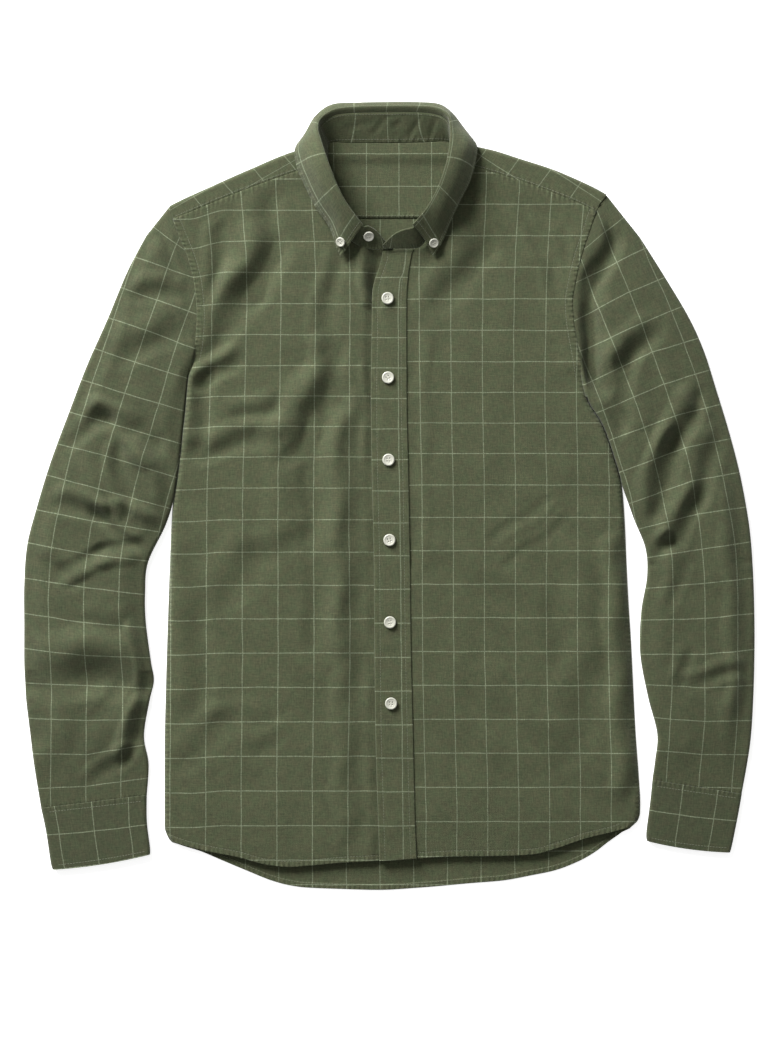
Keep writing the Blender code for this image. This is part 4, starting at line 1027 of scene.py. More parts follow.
    def panel(self) -> Panel:
        """The panel's grid."""
        inset = spaced((0.0, 2.0, 0.4), (2.0, 7.0, 0.9), (7.0, 10.0, 0.8), (10.0, self.nominal_width, 2.5))
        share = inset / self.nominal_width
        length = self.nominal_length
        rise = spaced((0.0, 8.0, 0.8), (8.0, length - 9.0, 2.6), (length - 9.0, length, 0.9))
        across, up = np.meshgrid(share, rise / length)
        x, y = self.plan(across, up)
        z = self.height(x, y)
        grids = [x, y, z, self.checks(x, y), self.seams(x, y)]
        if not self.side.left:
            grids = [g[:, ::-1] for g in grids]
        x, y, z, cut, seam = grids
        doubled = doubled_below(np.abs(y - BODY.hem(x)) * LAYOUT.unit, self.hem_width, self.hem_edge)
        return Panel(f"front_{self.side.name}_cloth", LAYOUT.place(x, y, z), cut, seam, doubled=doubled)


@dataclass
class Back:
    """The back panel, flat on the table, with its turned hem showing below the fronts."""

    cloth: float = 1.1
    inset: float = 0.5
    hem_width: float = 5.0
    hem_edge: float = 0.7
    stitch_share: float = 0.9
    top_y: float = 674.0
    nominal_length: float = 680.0
    columns: int = 96
    hem: Curve = across_curve(BACK_HEM)
    lattice: Lattice = Lattice(x=-9.5, y=38.0, u_step=(33.7, 0.0), v_step=(0.0, -33.6))

    def panel(self) -> Panel:
        """The panel's grid, on the inner side, which faces up."""
        share = np.linspace(0.0, 1.0, self.columns)
        length = self.nominal_length
        rise = spaced((0.0, 7.0, 0.7), (7.0, length, 5.5))
        across, up = np.meshgrid(share, rise / length)
        hem_x = mix(LEFT.outline(0.0) + self.inset, RIGHT.outline(0.0) - self.inset, across)
        y = mix(self.hem(hem_x), self.top_y, up)
        x = mix(LEFT.outline(y) + self.inset, RIGHT.outline(y) - self.inset, across)
        above_hem = (y - self.hem(x)) * LAYOUT.unit
        doubled = doubled_below(above_hem, self.hem_width, self.hem_edge)
        z = self.cloth * mix(0.5, 1.0, doubled)
        seam = together(above_hem, x * LAYOUT.unit)
        return Panel("back_cloth", LAYOUT.place(x, y, z), self.lattice.at(x, y), seam, doubled=doubled)


@dataclass
class Yoke:
    """The yoke, from its back seam up over the shoulder fold to its front seams."""

    cloth: float = 0.7
    rise: float = 8.2
    back_y: float = 670.8
    back_lap: float = 0.65
    lap_width: float = 6.0
    edge_drop: float = 0.4
    edge_share: float = 0.06
    stitch_inset: float = 2.2
    stitch_share: float = 0.8
    neck_share: float = 0.36
    neck_lift: float = 2.6
    lift_start_x: float = 78.0
    lift_width: float = 26.0
    lift_start_y: float = 722.0
    lift_climb: float = 12.0
    inset: float = 0.6
    back_rows: int = 30
    fold_rows: int = 10
    front_rows: int = 16
    last_rows: tuple[float, ...] = (0.93, 0.965, 0.985, 1.0)
    shoulder: Curve = across_curve(SHOULDER_FOLD)
    neck: Curve = across_curve(NECK_BACK)
    inside: Lattice = Lattice(x=-23.1, y=702.5, u_step=(32.6, 0.0), v_step=(0.0, -32.5))
    left_front: Lattice = Lattice(x=-195.2, y=691.5, u_step=(28.0, 16.0), v_step=(12.1, -14.25))
    right_front: Lattice = Lattice(x=91.6, y=731.9, u_step=(26.9, -17.3), v_step=(-15.8, -21.7))

    def column(self, share: float) -> Array:
        """Layout points of one column; between the neck's corners only its back layer is there."""
        half = BODY.neck_half
        left_x = LEFT.outline(LEFT.shoulder_y) + self.inset
        right_x = RIGHT.outline(RIGHT.shoulder_y) - self.inset
        if share < self.neck_share:
            fold_x = mix(left_x, -half, share / self.neck_share)
        elif share > 1.0 - self.neck_share:
            fold_x = mix(right_x, half, (1.0 - share) / self.neck_share)
        else:
            fold_x = mix(-half, half, (share - self.neck_share) / (1.0 - 2.0 * self.neck_share))
        over_shoulder = not self.neck_share < share < 1.0 - self.neck_share
        lift = self.neck_lift * (1.0 - ease((abs(fold_x) - self.lift_start_x) / self.lift_width))
        radius = (self.rise - lift) / 2.0
        fold_y = self.shoulder(fold_x)
        back_end = fold_y - radius if over_shoulder else self.neck(fold_x) + 1.0
        y = np.linspace(self.back_y, back_end, self.back_rows)
        near_fold = ease((y - self.back_y) / (back_end - self.back_y))
        low_x = mix(LEFT.outline(y) + self.inset, RIGHT.outline(y) - self.inset, share)
        x = self.between_armholes(mix(low_x, fold_x, near_fold), y)
        lap = self.back_lap * (1.0 - ease((y - self.back_y) / self.lap_width))
        back = together(x, y, lift * ease((y - self.lift_start_y) / self.lift_climb) + lap)
        if not over_shoulder:
            return np.concatenate([back, np.full((self.fold_rows + self.front_rows, 3), np.nan)])
        turn = np.pi * np.arange(1, self.fold_rows + 1) / (self.fold_rows + 1)
        y = fold_y - radius + radius * np.sin(turn)
        z = lift + radius * (1.0 - np.cos(turn))
        fold = together(self.between_armholes(np.full(y.shape, fold_x), y), y, z)
        even = np.linspace(0.0, 0.88, self.front_rows - len(self.last_rows))
        down = np.concatenate([even, self.last_rows])
        side_x = YOKE_FRONT_LEFT[0].x if share < 0.5 else YOKE_FRONT_RIGHT[-1].x
        seam_x = mix(side_x, math.copysign(half, share - 0.5), min(share, 1.0 - share) / self.neck_share)
        x = mix(fold_x, seam_x, down)
        y = mix(fold_y - radius, BODY.yoke_seam(seam_x), down)
        z = self.rise - self.edge_drop * ease((down - 1.0 + self.edge_share) / self.edge_share)
        front = together(self.between_armholes(x, y), y, z)
        return np.concatenate([back, fold, front])

    def between_armholes(self, x: Array, y: Array) -> Array:
        """x kept inside the armholes."""
        return np.clip(x, LEFT.outline(y) + self.inset, RIGHT.outline(y) - self.inset)

    def panel(self) -> Panel:
        """The yoke's grid, from the front seams back, so that it faces out."""
        wing = np.concatenate([[0.0, 0.003, 0.008], np.linspace(0.014, self.neck_share, 48)])
        neck = np.linspace(self.neck_share, 1.0 - self.neck_share, 46)[1:-1]
        shares = np.concatenate([wing, neck, 1.0 - wing[::-1]])
        grid = np.stack([self.column(share) for share in shares], axis=1)[::-1]
        x, y, z = np.moveaxis(grid, -1, 0)
        front = np.where((x < 0)[..., None], self.left_front.at(x, y), self.right_front.at(x, y))
        turned = self.front_rows + self.fold_rows // 2
        inner = np.arange(len(y))[:, None] >= turned
        from_seam = np.where(inner, np.abs(y - self.back_y), np.abs(y - BODY.yoke_seam(x)))
        seam = np.nan_to_num(together(from_seam, x) * LAYOUT.unit)
        return Panel(
            "yoke_cloth",
            LAYOUT.place(x, y, z),
            np.nan_to_num(front),
            seam,
            turned=turned,
            second_cut=np.nan_to_num(self.inside.at(x, y)),
        )


@dataclass
class Placket:
    """The button placket, folded and stitched down both sides, on the front that laps over."""

    cloth: float = 0.9
    top_y: float = 639.5
    sag: float = 0.5
    over_front: float = 1.25
    stitch_inset: float = 6.0
    stitch_sink: float = 0.22
    stitch_width: float = 1.0
    edge_drop: float = 0.5
    edge_width: float = 1.3
    row_start_y: float = 31.0
    row_points: int = 400
    nominal_width: float = 33.0
    nominal_length: float = 610.0
    check_step: float = 34.0
    left: Curve = down_curve(PLACKET_LEFT)
    right: Curve = down_curve(PLACKET_RIGHT)
    line: Curve = down_curve(PLACKET_LINE)
    rows: Curve = curve_of(PLACKET_ROW_CHECKS, "y", "number")

    def height(self, x: Array, y: Array) -> Array:
        """Height of the placket, with its edges rounded over and its stitches sunk in."""
        z = np.maximum(BODY.height(x, y, RIGHT), BODY.rise - self.sag) + self.over_front
        from_left = (x - self.left(y)) * LAYOUT.unit
        from_right = (self.right(y) - x) * LAYOUT.unit
        for inset in (from_left, from_right):
            z = z - self.stitch_sink * stitched(inset, self.stitch_inset, self.stitch_width)
            z = z - self.edge_drop * (1.0 - rounded(inset, self.edge_width))
        return z

    def panel(self) -> Panel:
        """The placket's grid."""
        inset = spaced((0.0, 1.4, 0.35), (1.4, 16.0, 1.1))
        half = inset / self.nominal_width
        share = np.concatenate([half, 1.0 - half[::-1]])
        share = np.unique(np.round(share, 4))
        length = self.nominal_length
        rise = spaced((0.0, 8.0, 0.8), (8.0, length, 3.0))
        across, up = np.meshgrid(share, rise / length)
        hem_x = mix(PLACKET_LEFT[-1].x, PLACKET_RIGHT[-1].x, across)
        y = mix(BODY.hem(hem_x), self.top_y, up)
        x = mix(self.left(y), self.right(y), across)
        cut = together((x - self.line(y)) / self.check_step, self.rows(y))
        edge = np.minimum(x - self.left(y), self.right(y) - x)
        seam = together(edge, y) * LAYOUT.unit
        return Panel("placket_cloth", LAYOUT.place(x, y, self.height(x, y)), cut, seam)


# ---------------- sleeves and cuffs


@dataclass(frozen=True)
class Tube:
    """A flattened tube of cloth: along the table from the inner fold to the outer one, then back on top."""

    bottom: int = 34
    turn: int = 7
    top: int = 62
    edge_height: float = 7.0
    edge_climb: float = 26.0

    @property
    def outer_fold(self) -> int:
        """The column that runs along the outer fold."""
        return self.bottom + self.turn // 2

    def rings(self, width: Array, heights: Callable[[Array], Array]) -> tuple[Array, Array]:
        """The rings' places across the tube and their heights.

        Args:
            width: Each ring's flat width in millimetres, as a column.
            heights: The upper side's height at an array of shares, with a ring to each row.

        Returns:
            The shares from the outer fold and the heights.
        """
        ends = heights(np.broadcast_to(np.array([0.0, 1.0]), (len(width), 2)))
        edge = np.minimum(ends.min(axis=1, keepdims=True), self.edge_height)
        radius = edge / 2.0
        across = radius / width
        inward = np.linspace(1.0, 0.0, self.bottom)
        angle = np.linspace(-0.5, 0.5, self.turn + 2)[1:-1] * np.pi
        outward = np.linspace(0.0, 1.0, self.top)
        bottom = mix(across, 1.0 - across, inward)
        outer = across * (1.0 - np.cos(angle))
        top = mix(across, 1.0 - across, outward)
        inner = 1.0 - across * (1.0 - np.cos(angle[::-1]))
        share = np.concatenate([bottom, outer, top, inner], axis=1)
        near_edge = np.minimum(top, 1.0 - top) * width
        full = mix(edge, heights(top), ease(near_edge / self.edge_climb))
        round_z = radius * (1.0 + np.sin(angle))
        z = np.concatenate([np.zeros(bottom.shape), round_z, full, round_z[:, ::-1]], axis=1)
        return share, z


@dataclass
class Sleeve:
    """A sleeve, sewn into its armhole and gathered flat into its cuff."""

    side: Side
    cloth: float = 0.6
    rise: float = 11.0
    lowest: float = 1.6
    cuff_rise: float = 4.6
    armhole_gap: float = -0.4
    gather: float = 3.0
    armhole_tuck: float = 3.0
    armhole_cover: float = 1.0
    armhole_lowest: float = 0.75
    cuff_tuck: float = 3.0
    cuff_narrowing: float = 0.02
    cuff_flattening: float = 0.38
    unevenness: float = 1.0
    tube: Tube = Tube()

    def __post_init__(self) -> None:
        """Picks this side's tables."""
        left = self.side.left
        self.stations = Stations(LEFT_SLEEVE if left else RIGHT_SLEEVE)
        self.folds = LEFT_SLEEVE_FOLDS if left else RIGHT_SLEEVE_FOLDS
        self.slants = LEFT_SLEEVE_SLANTS if left else RIGHT_SLEEVE_SLANTS
        self.row_checks = LEFT_SLEEVE_ROWS if left else RIGHT_SLEEVE_ROWS
        columns = LEFT_SLEEVE_COLUMNS if left else RIGHT_SLEEVE_COLUMNS
        self.column_checks = [curve_of(columns, "y", x) for x in ("first_x", "second_x", "third_x")]

    def plan(self, share: Array, position: Array) -> tuple[Array, Array]:
        """Layout x and y at a share of the way in from the outer fold, at a position down the sleeve."""
        row = self.stations.at(np.maximum(position, 0.0))
        from_armhole = np.clip(-position, 0.0, 1.0)
        armhole_y = mix(self.side.shoulder_y, self.side.armpit_y, share)
        armhole_x = self.side.outline(armhole_y)
        x = mix(mix(row[..., 0], row[..., 2], share), armhole_x, from_armhole)
        y = mix(mix(row[..., 1], row[..., 3], share), armhole_y, from_armhole)
        outward = self.side.outward
        beside_body = self.side.outline(y) + outward * self.armhole_gap
        return outward * np.maximum(outward * x, outward * beside_body), y

    def height(self, share: Array, position: Array) -> Array:
        """Height of the sleeve's upper side away from its folds."""
        x, y = self.plan(share, position)
        to_cuff = 1.0 - ease((self.stations.last - position) / self.gather)
        rise = self.rise + relief(self.folds, x, y) + drape(x, y, self.unevenness)
        rise = rise + slanting(self.slants, x, y)
        rise = mix(np.maximum(self.lowest, rise), self.cuff_rise, to_cuff)
        at_seam = np.clip(1.0 - (position + 1.0) / self.side.seam_share, 0.0, 1.0)
        return mix(rise, BODY.armhole_rise, at_seam)

    def checks(self, x: Array, y: Array) -> Array:
        """The check's numbers on the upper side."""
        marks = [self.side.outward * -curve(y) for curve in self.column_checks]
        u = index_among(marks, self.side.outward * -x)
        rows = []
        for c in self.row_checks:
            outer_slope = (c.middle_y - c.outer_y) / (c.middle_x - c.outer_x)
            inner_slope = (c.inner_y - c.middle_y) / (c.inner_x - c.middle_x)
            inside = (x - c.middle_x) * self.side.outward < 0
            rows.append(-(c.middle_y + (x - c.middle_x) * np.where(inside, inner_slope, outer_slope)))
        return together(u, index_among(rows, -y))

    def panel(self) -> Panel:
        """The sleeve's grid of rings, with its ends tucked under the body and into the cuff."""
        last = self.stations.last
        position = np.concatenate([[-1.0], spaced((-1.0, last, 0.06))])[:, None]
        position = np.concatenate([position, [[last]]])
        row = self.stations.at(np.maximum(position[:, 0], 0.0))
        width = flat_widths(row)
        share, z = self.tube.rings(width, lambda s: self.height(s, np.broadcast_to(position, s.shape)))
        x, y = self.plan(share, np.broadcast_to(position, share.shape))
        on_top = self.checks(x, y)
        fold = self.tube.outer_fold
        below = on_top.copy()
        below[..., 0] = 2.0 * on_top[:, fold : fold + 1, 0] - on_top[..., 0]
        first_half = np.arange(share.shape[1]) <= fold
        cut = np.where(first_half[None, :, None], below, on_top)
        cut = np.concatenate([cut, on_top[:, :1]], axis=1)
        self.tuck_armhole(x, y, z)
        self.tuck_cuff(x, y, z)
        length = np.cumsum(np.hypot(*np.gradient(np.stack([x[:, fold], y[:, fold]]), axis=1))) * LAYOUT.unit
        ends = np.minimum(length, length[-1] - length)[:, None]
        seam = together(np.broadcast_to(ends, share.shape), share * width)
        seam = np.concatenate([seam, seam[:, :1]], axis=1)
        panel = Panel(f"sleeve_{self.side.name}_cloth", LAYOUT.place(x, y, z), cut, seam, closed=True)
        return panel.mirrored() if self.side.left else panel

    def tuck_armhole(self, x: Array, y: Array, z: Array) -> None:
        """Moves the first ring in under the body's edge."""
        outward = self.side.outward
        x[0] = self.side.outline(y[0]) - outward * self.armhole_tuck
        cover = BODY.height(x[0], y[0], self.side) - self.armhole_cover
        z[0] = np.clip(np.minimum(z[0], cover), self.armhole_lowest, None)

    def tuck_cuff(self, x: Array, y: Array, z: Array) -> None:
        """Moves the last ring down into the cuff."""
        before, middle = ((row[:2] + row[2:]) / 2.0 for row in self.stations.rows[-2:])
        down = (middle - before) / np.linalg.norm(middle - before) * self.cuff_tuck
        x[-1] = mix(x[-1], middle[0], self.cuff_narrowing) + down[0]
        y[-1] = mix(y[-1], middle[1], self.cuff_narrowing) + down[1]
        z[-1] = mix(z[-1], self.cuff_rise / 2.0, self.cuff_flattening)


@dataclass
class Cuff:
    """A cuff, buttoned on the side that rests on the table."""

    side: Side
    cloth: float = 1.2
    rise: float = 6.6
    bow: float = 2.3
    length: float = 62.0
    line_down: float = 28.5
    line_pitch: float = 36.4
    line_stretch: float = 0.985
    stitch_inset: float = 5.5
    stitch_sink: float = 0.2
    stitch_width: float = 1.1
    edge_drop: float = 0.45
    edge_width: float = 1.2
    middle_z: float = 3.0
    row_points: int = 200
    unevenness: float = 0.25
    tube: Tube = Tube(bottom=30, top=46)

    def __post_init__(self) -> None:
        """Picks this side's tables."""
        left = self.side.left
        self.stations = Stations(LEFT_CUFF if left else RIGHT_CUFF)
        self.line_share, self.line_step = (0.13, 0.35) if left else (0.27, 0.39)

    def panel(self) -> Panel:
        """The cuff's grid of rings, its edge rounded over at both ends."""
        end = self.length
        down = spaced((0.0, 1.2, 0.4), (1.2, end - 1.2, 2.4), (end - 1.2, end, 0.4))[:, None] / end
        row = self.stations.at(down[:, 0] * self.stations.last)
        width = flat_widths(row)

        def heights(at: Array) -> Array:
            """The cuff's height at some shares."""
            return np.full(at.shape, self.rise) + drape(at * 60.0, down * 90.0, self.unevenness)

        share, z = self.tube.rings(width, heights)
        bow = self.bow * down * 4.0 * share * (1.0 - share)
        x = mix(row[:, 0:1], row[:, 2:3], share)
        y = mix(row[:, 1:2], row[:, 3:4], share) - bow
        from_end = np.minimum(down, 1.0 - down) * end
        pinch = self.edge_drop * (1.0 - rounded(from_end, self.edge_width))
        groove = self.stitch_sink * stitched(from_end, self.stitch_inset, self.stitch_width)
        on_top, on_table = z > self.middle_z, z < 0.01
        z = z - (pinch + groove) * np.where(on_table, 0.0, np.where(on_top, 1.0, -1.0))
        fold = self.tube.outer_fold
        side_share = np.where(np.arange(share.shape[1]) <= fold, -share, share)
        side_share = np.concatenate([side_share, share[:, :1]], axis=1)
        below_seam = (row[:1, 1:2] - row[:, 1:2]) * LAYOUT.unit / self.line_stretch
        v = np.broadcast_to((below_seam - self.line_down) / self.line_pitch, side_share.shape)
        cut = together((side_share - self.line_share) / self.line_step, v)
        seam = together(np.broadcast_to(from_end, side_share.shape), side_share * width)
        panel = Panel(f"cuff_{self.side.name}_cloth", LAYOUT.place(x, y, z), cut, seam, closed=True)
        return panel.mirrored() if self.side.left else panel


# ---------------- collar


@dataclass
class Collar:
    """The collar's leaf and stand."""

    cloth: float = 1.2
    roll_depth: float = 6.5
    end_roll_depth: float = 1.6
    roll_climb: float = 2.5
    leaf_overlap: float = 0.3
    station_length: float = 17.0
    leaf_place_length: float = 21.0
    foot_drop: float = 0.07
    leaf_line: float = 2.55
    leaf_line_drift: float = 0.3
    drift_from: float = 6.0
    drift_over: float = 10.0
    leaf_step: float = 1.69
    left_slant: float = 0.09
    right_slant: float = -0.30
    stand_lean: float = 0.31
    stand_lean_most: float = 0.6
    stand_line: float = 0.06
    stand_step: float = 0.88
    stand_rings: int = 17
    stitch_station: float = 0.5
    stitch_place: float = 2.74
    row_points: int = 360
    end_row_points: int = 40
    foot_row: float = 0.07
    stand_row_margin: float = 0.4
    stand_row_points: int = 400
    middle_station: float = 11.0
    sections: Stations = Stations(COLLAR)
    numbers: Curve = curve_of(COLLAR_CHECKS, "station", "number")

    def leaf_points(self, position: Array, place: Array) -> Array:
        """Layout points of the leaf.

        Args:
            position: Stations round the neck, as a column.
            place: Places across the leaf, from 0 at the seam over 1 at the crest to 3 at the edge.

        Returns:
            The points, with x, y and z on the last axis.
        """
        row = self.sections.at(position[:, 0])
        corners = [self.joint(row, position, self.leaf_overlap), row[:, 3:6], row[:, 6:9], row[:, 9:12]]
        columns = []
        for at in place:
            i = min(int(at), 2)
            columns.append(between_rows(*(corners[min(3, max(0, i + k))] for k in (-1, 0, 1, 2)), at - i))
        points = np.stack(columns, axis=1)
        points[..., 2] = np.maximum(points[..., 2], self.cloth / 2.0)
        return points

    def leaf(self) -> Panel:
        """The leaf's grid."""
        last = self.sections.last
        position = spaced((0.0, 0.12, 0.03), (0.12, last - 0.12, 0.11), (last - 0.12, last, 0.03))[:, None]
        place = spaced((0.0, 2.9, 0.08), (2.9, 3.0, 0.025))
        points = self.leaf_points(position, place)
        x, y, z = np.moveaxis(points, -1, 0)
        lean = mix(self.left_slant, self.right_slant, position / last) * (place - 1.0) / 2.0
        line = self.leaf_line + self.leaf_line_drift * ease((position - self.drift_from) / self.drift_over)
        u = self.numbers(position + lean)
        v = (place[None, :] - line) / self.leaf_step
        from_end = np.minimum(position, last - position) * self.station_length
        from_edge = np.minimum((3.0 - place) * self.leaf_place_length, from_end)
        seam = together(from_edge, position * self.station_length)
        return Panel("collar_leaf_cloth", LAYOUT.place(x, y, z), together(u, v), seam)

    def roll(self, position: Array) -> Array:
        """How far below the crest the stand and the leaf meet, which is less at the leaf's ends."""
        from_end = np.minimum(position, self.sections.last - position)
        return mix(self.end_roll_depth, self.roll_depth, ease(from_end / self.roll_climb))

    def joint(self, row: Array, position: Array, overlap: float = 0.0) -> Array:
        """Points where the stand and the leaf meet below the crest, at stations in a column."""
        base, crest = row[:, 0:3], row[:, 3:6]
        depth = self.roll(position) - overlap
        return mix(base, crest, 1.0 - depth / np.linalg.norm(crest - base, axis=1, keepdims=True))

    def stand_rows(self) -> Stations:
        """The stand's sections, each by its foot and its top."""
        sections = self.sections.rows
        top = self.joint(sections, np.arange(len(sections), dtype=float)[:, None])
        middle = np.concatenate([sections[:, 0:3], top], axis=1)
        return Stations(np.concatenate([np.array(LEFT_STAND_END), middle, np.array(RIGHT_STAND_END)]))

    def stand(self) -> Panel:
        """The stand's grid, with its lone ends."""
        rows = self.stand_rows()
        ends = float(len(LEFT_STAND_END))
        position = spaced((0.0, rows.last, 0.11))[:, None]
        row = rows.at(position[:, 0])
        up = np.concatenate([[-self.foot_drop], np.linspace(0.0, 1.0, self.stand_rings)])
        points = mix(row[:, None, 0:3], row[:, None, 3:6], up[None, :, None])
        x, y, z = np.moveaxis(points, -1, 0)
        z = z + relief(STAND_FOLDS, x, y) * np.clip(up, 0.0, 1.0) * (1.0 - np.clip(up, 0.0, 1.0)) * 4.0
        lean = (self.middle_station - position + ends) * self.stand_lean
        lean = np.clip(lean, -self.stand_lean_most, self.stand_lean_most)
        u = self.numbers(position - ends + lean * (1.0 - up))
        v = self.stand_line + self.stand_step * up
        height = np.linalg.norm(row[:, 3:6] - row[:, 0:3], axis=1)[:, None]
        seam = together(up * height, position * self.station_length)
        return Panel("collar_stand_cloth", LAYOUT.place(x, y, z), together(u, v), seam)


# ---------------- shader maths


class Signal:
    """A socket of a shader tree, on which arithmetic makes nodes."""

    def __init__(self, shader: "Shader", socket: NodeSocket) -> None:
        """Wraps a socket."""
        self.shader = shader
        self.socket = socket

    def math(self, operation: str, *values: Any) -> "Signal":
        """A Math node on values, by their order."""
        return self.shader.add("ShaderNodeMath", {"operation": operation}, dict(enumerate(values)))

    def __add__(self, other: Any) -> "Signal":
        """self + other."""
        return self.math("ADD", self, other)

    def __sub__(self, other: Any) -> "Signal":
        """self - other."""
        return self.math("SUBTRACT", self, other)

    def __rsub__(self, other: Any) -> "Signal":
        """other - self."""
        return self.math("SUBTRACT", other, self)

    def __mul__(self, other: Any) -> "Signal":
        """self * other."""
        return self.math("MULTIPLY", self, other)

    def __truediv__(self, other: Any) -> "Signal":
        """self / other."""
        return self.math("DIVIDE", self, other)

    __radd__ = __add__
    __rmul__ = __mul__

    def sine(self) -> "Signal":
        """The sine of self."""
        return self.math("SINE", self)

    def from_whole(self) -> "Signal":
        """The distance from self to the nearest whole number."""
        return self.math("ABSOLUTE", self.math("SUBTRACT", self, self.math("ROUND", self)))

    def below(self, limit: Any, softness: float) -> "Signal":
        """1 where self is under a limit and 0 where it is over, with a soft step between."""
        inputs = {"Value": self, "From Min": limit - softness, "From Max": limit + softness}
        inputs |= {"To Min": 1.0, "To Max": 0.0}
        return self.shader.add("ShaderNodeMapRange", {"interpolation_type": "SMOOTHSTEP"}, inputs)


class Noise(NamedTuple):
    """A noise over cloth: its patches' size in millimetres both ways, its own layer and how fine it gets."""

    warp_size: float
    weft_size: float
    layer: float
    detail: float = 2.0


CLOUDS = Noise(warp_size=24.0, weft_size=24.0, layer=3.0, detail=4.0)
LONG_STREAKS = Noise(warp_size=1.3, weft_size=9.0, layer=0.0)
CROSS_STREAKS = Noise(warp_size=9.0, weft_size=1.3, layer=9.0)
FLECKS = Noise(warp_size=2.1, weft_size=2.1, layer=41.0, detail=1.0)
DOTS = Noise(warp_size=1.2, weft_size=1.2, layer=21.0, detail=1.0)
WANDER = Noise(warp_size=33.0, weft_size=33.0, layer=51.0)
HUES = Noise(warp_size=9.0, weft_size=9.0, layer=61.0, detail=3.0)
SLUBS = Noise(warp_size=2.6, weft_size=2.6, layer=31.0)
PUCKER_SWAY = Noise(warp_size=17.0, weft_size=30.0, layer=5.0)
PUCKER_SHARES = Noise(warp_size=13.0, weft_size=11.0, layer=14.0)


class Shader:
    """A material's nodes."""

    def __init__(self, name: str) -> None:
        """Makes the material, with an empty tree."""
        self.material = bpy.data.materials.new(name)
        self.material.use_nodes = True
        self.nodes = self.material.node_tree.nodes
        self.links = self.material.node_tree.links
        self.nodes.clear()

    def add(self, kind: str, settings: dict[str, Any], inputs: dict[Any, Any], output: Any = 0) -> Signal:
        """Makes a node.

        Args:
            kind: The node's type.
            settings: Its properties, which are set first.
            inputs: Its sockets' values or signals, by name or number.
            output: The socket that is returned, by name or number.

        Returns:
            The output.
        """
        node = self.nodes.new(kind)
        for key, value in settings.items():
            setattr(node, key, value)
        for key, value in inputs.items():
            if isinstance(value, Signal):
                self.links.new(value.socket, node.inputs[key])
            else:
                node.inputs[key].default_value = value
        return Signal(self, node.outputs[output])

    def colour(self, factor: Any, first: Any, second: Any) -> Signal:
        """A mix of two colours."""
        return self.add("ShaderNodeMix", {"data_type": "RGBA"}, {0: factor, 6: first, 7: second}, 2)

    def brightened(self, colour: Any, factor: Signal) -> Signal:
        """A colour times a factor."""
        return self.add("ShaderNodeVectorMath", {"operation": "SCALE"}, {0: colour, "Scale": factor})

    def grain(self, name: str) -> tuple[Signal, Signal]:
        """The two numbers of a UV map."""
        place = self.add("ShaderNodeUVMap", {"uv_map": name}, {})
        first = self.add("ShaderNodeSeparateXYZ", {}, {0: place})
        return first, Signal(self, first.socket.node.outputs[1])

    def noise(self, warp: Signal, weft: Signal, noise: Noise) -> Signal:
        """A noise from 0 to 1 at a place in millimetres."""
        place = {0: warp / noise.warp_size, 1: weft / noise.weft_size, 2: noise.layer}
        vector = self.add("ShaderNodeCombineXYZ", {}, place)
        return self.add("ShaderNodeTexNoise", {}, {"Vector": vector, "Scale": 1.0, "Detail": noise.detail})

    def bump(self, height: Signal) -> Signal:
        """A normal that a height in millimetres disturbs."""
        return self.add("ShaderNodeBump", {}, {"Height": height, "Strength": 1.0, "Distance": MM})

    def finish(self, inputs: dict[str, Any]) -> Material:
        """Ends the tree in a Principled surface."""
        surface = self.add("ShaderNodeBsdfPrincipled", {}, inputs)
        node = self.nodes.new("ShaderNodeOutputMaterial")
        self.links.new(surface.socket, node.inputs["Surface"])
        return self.material


def rgba(red: float, green: float, blue: float) -> Colour:
    """An opaque colour."""
    return (red, green, blue, 1.0)


# ---------------- finishes


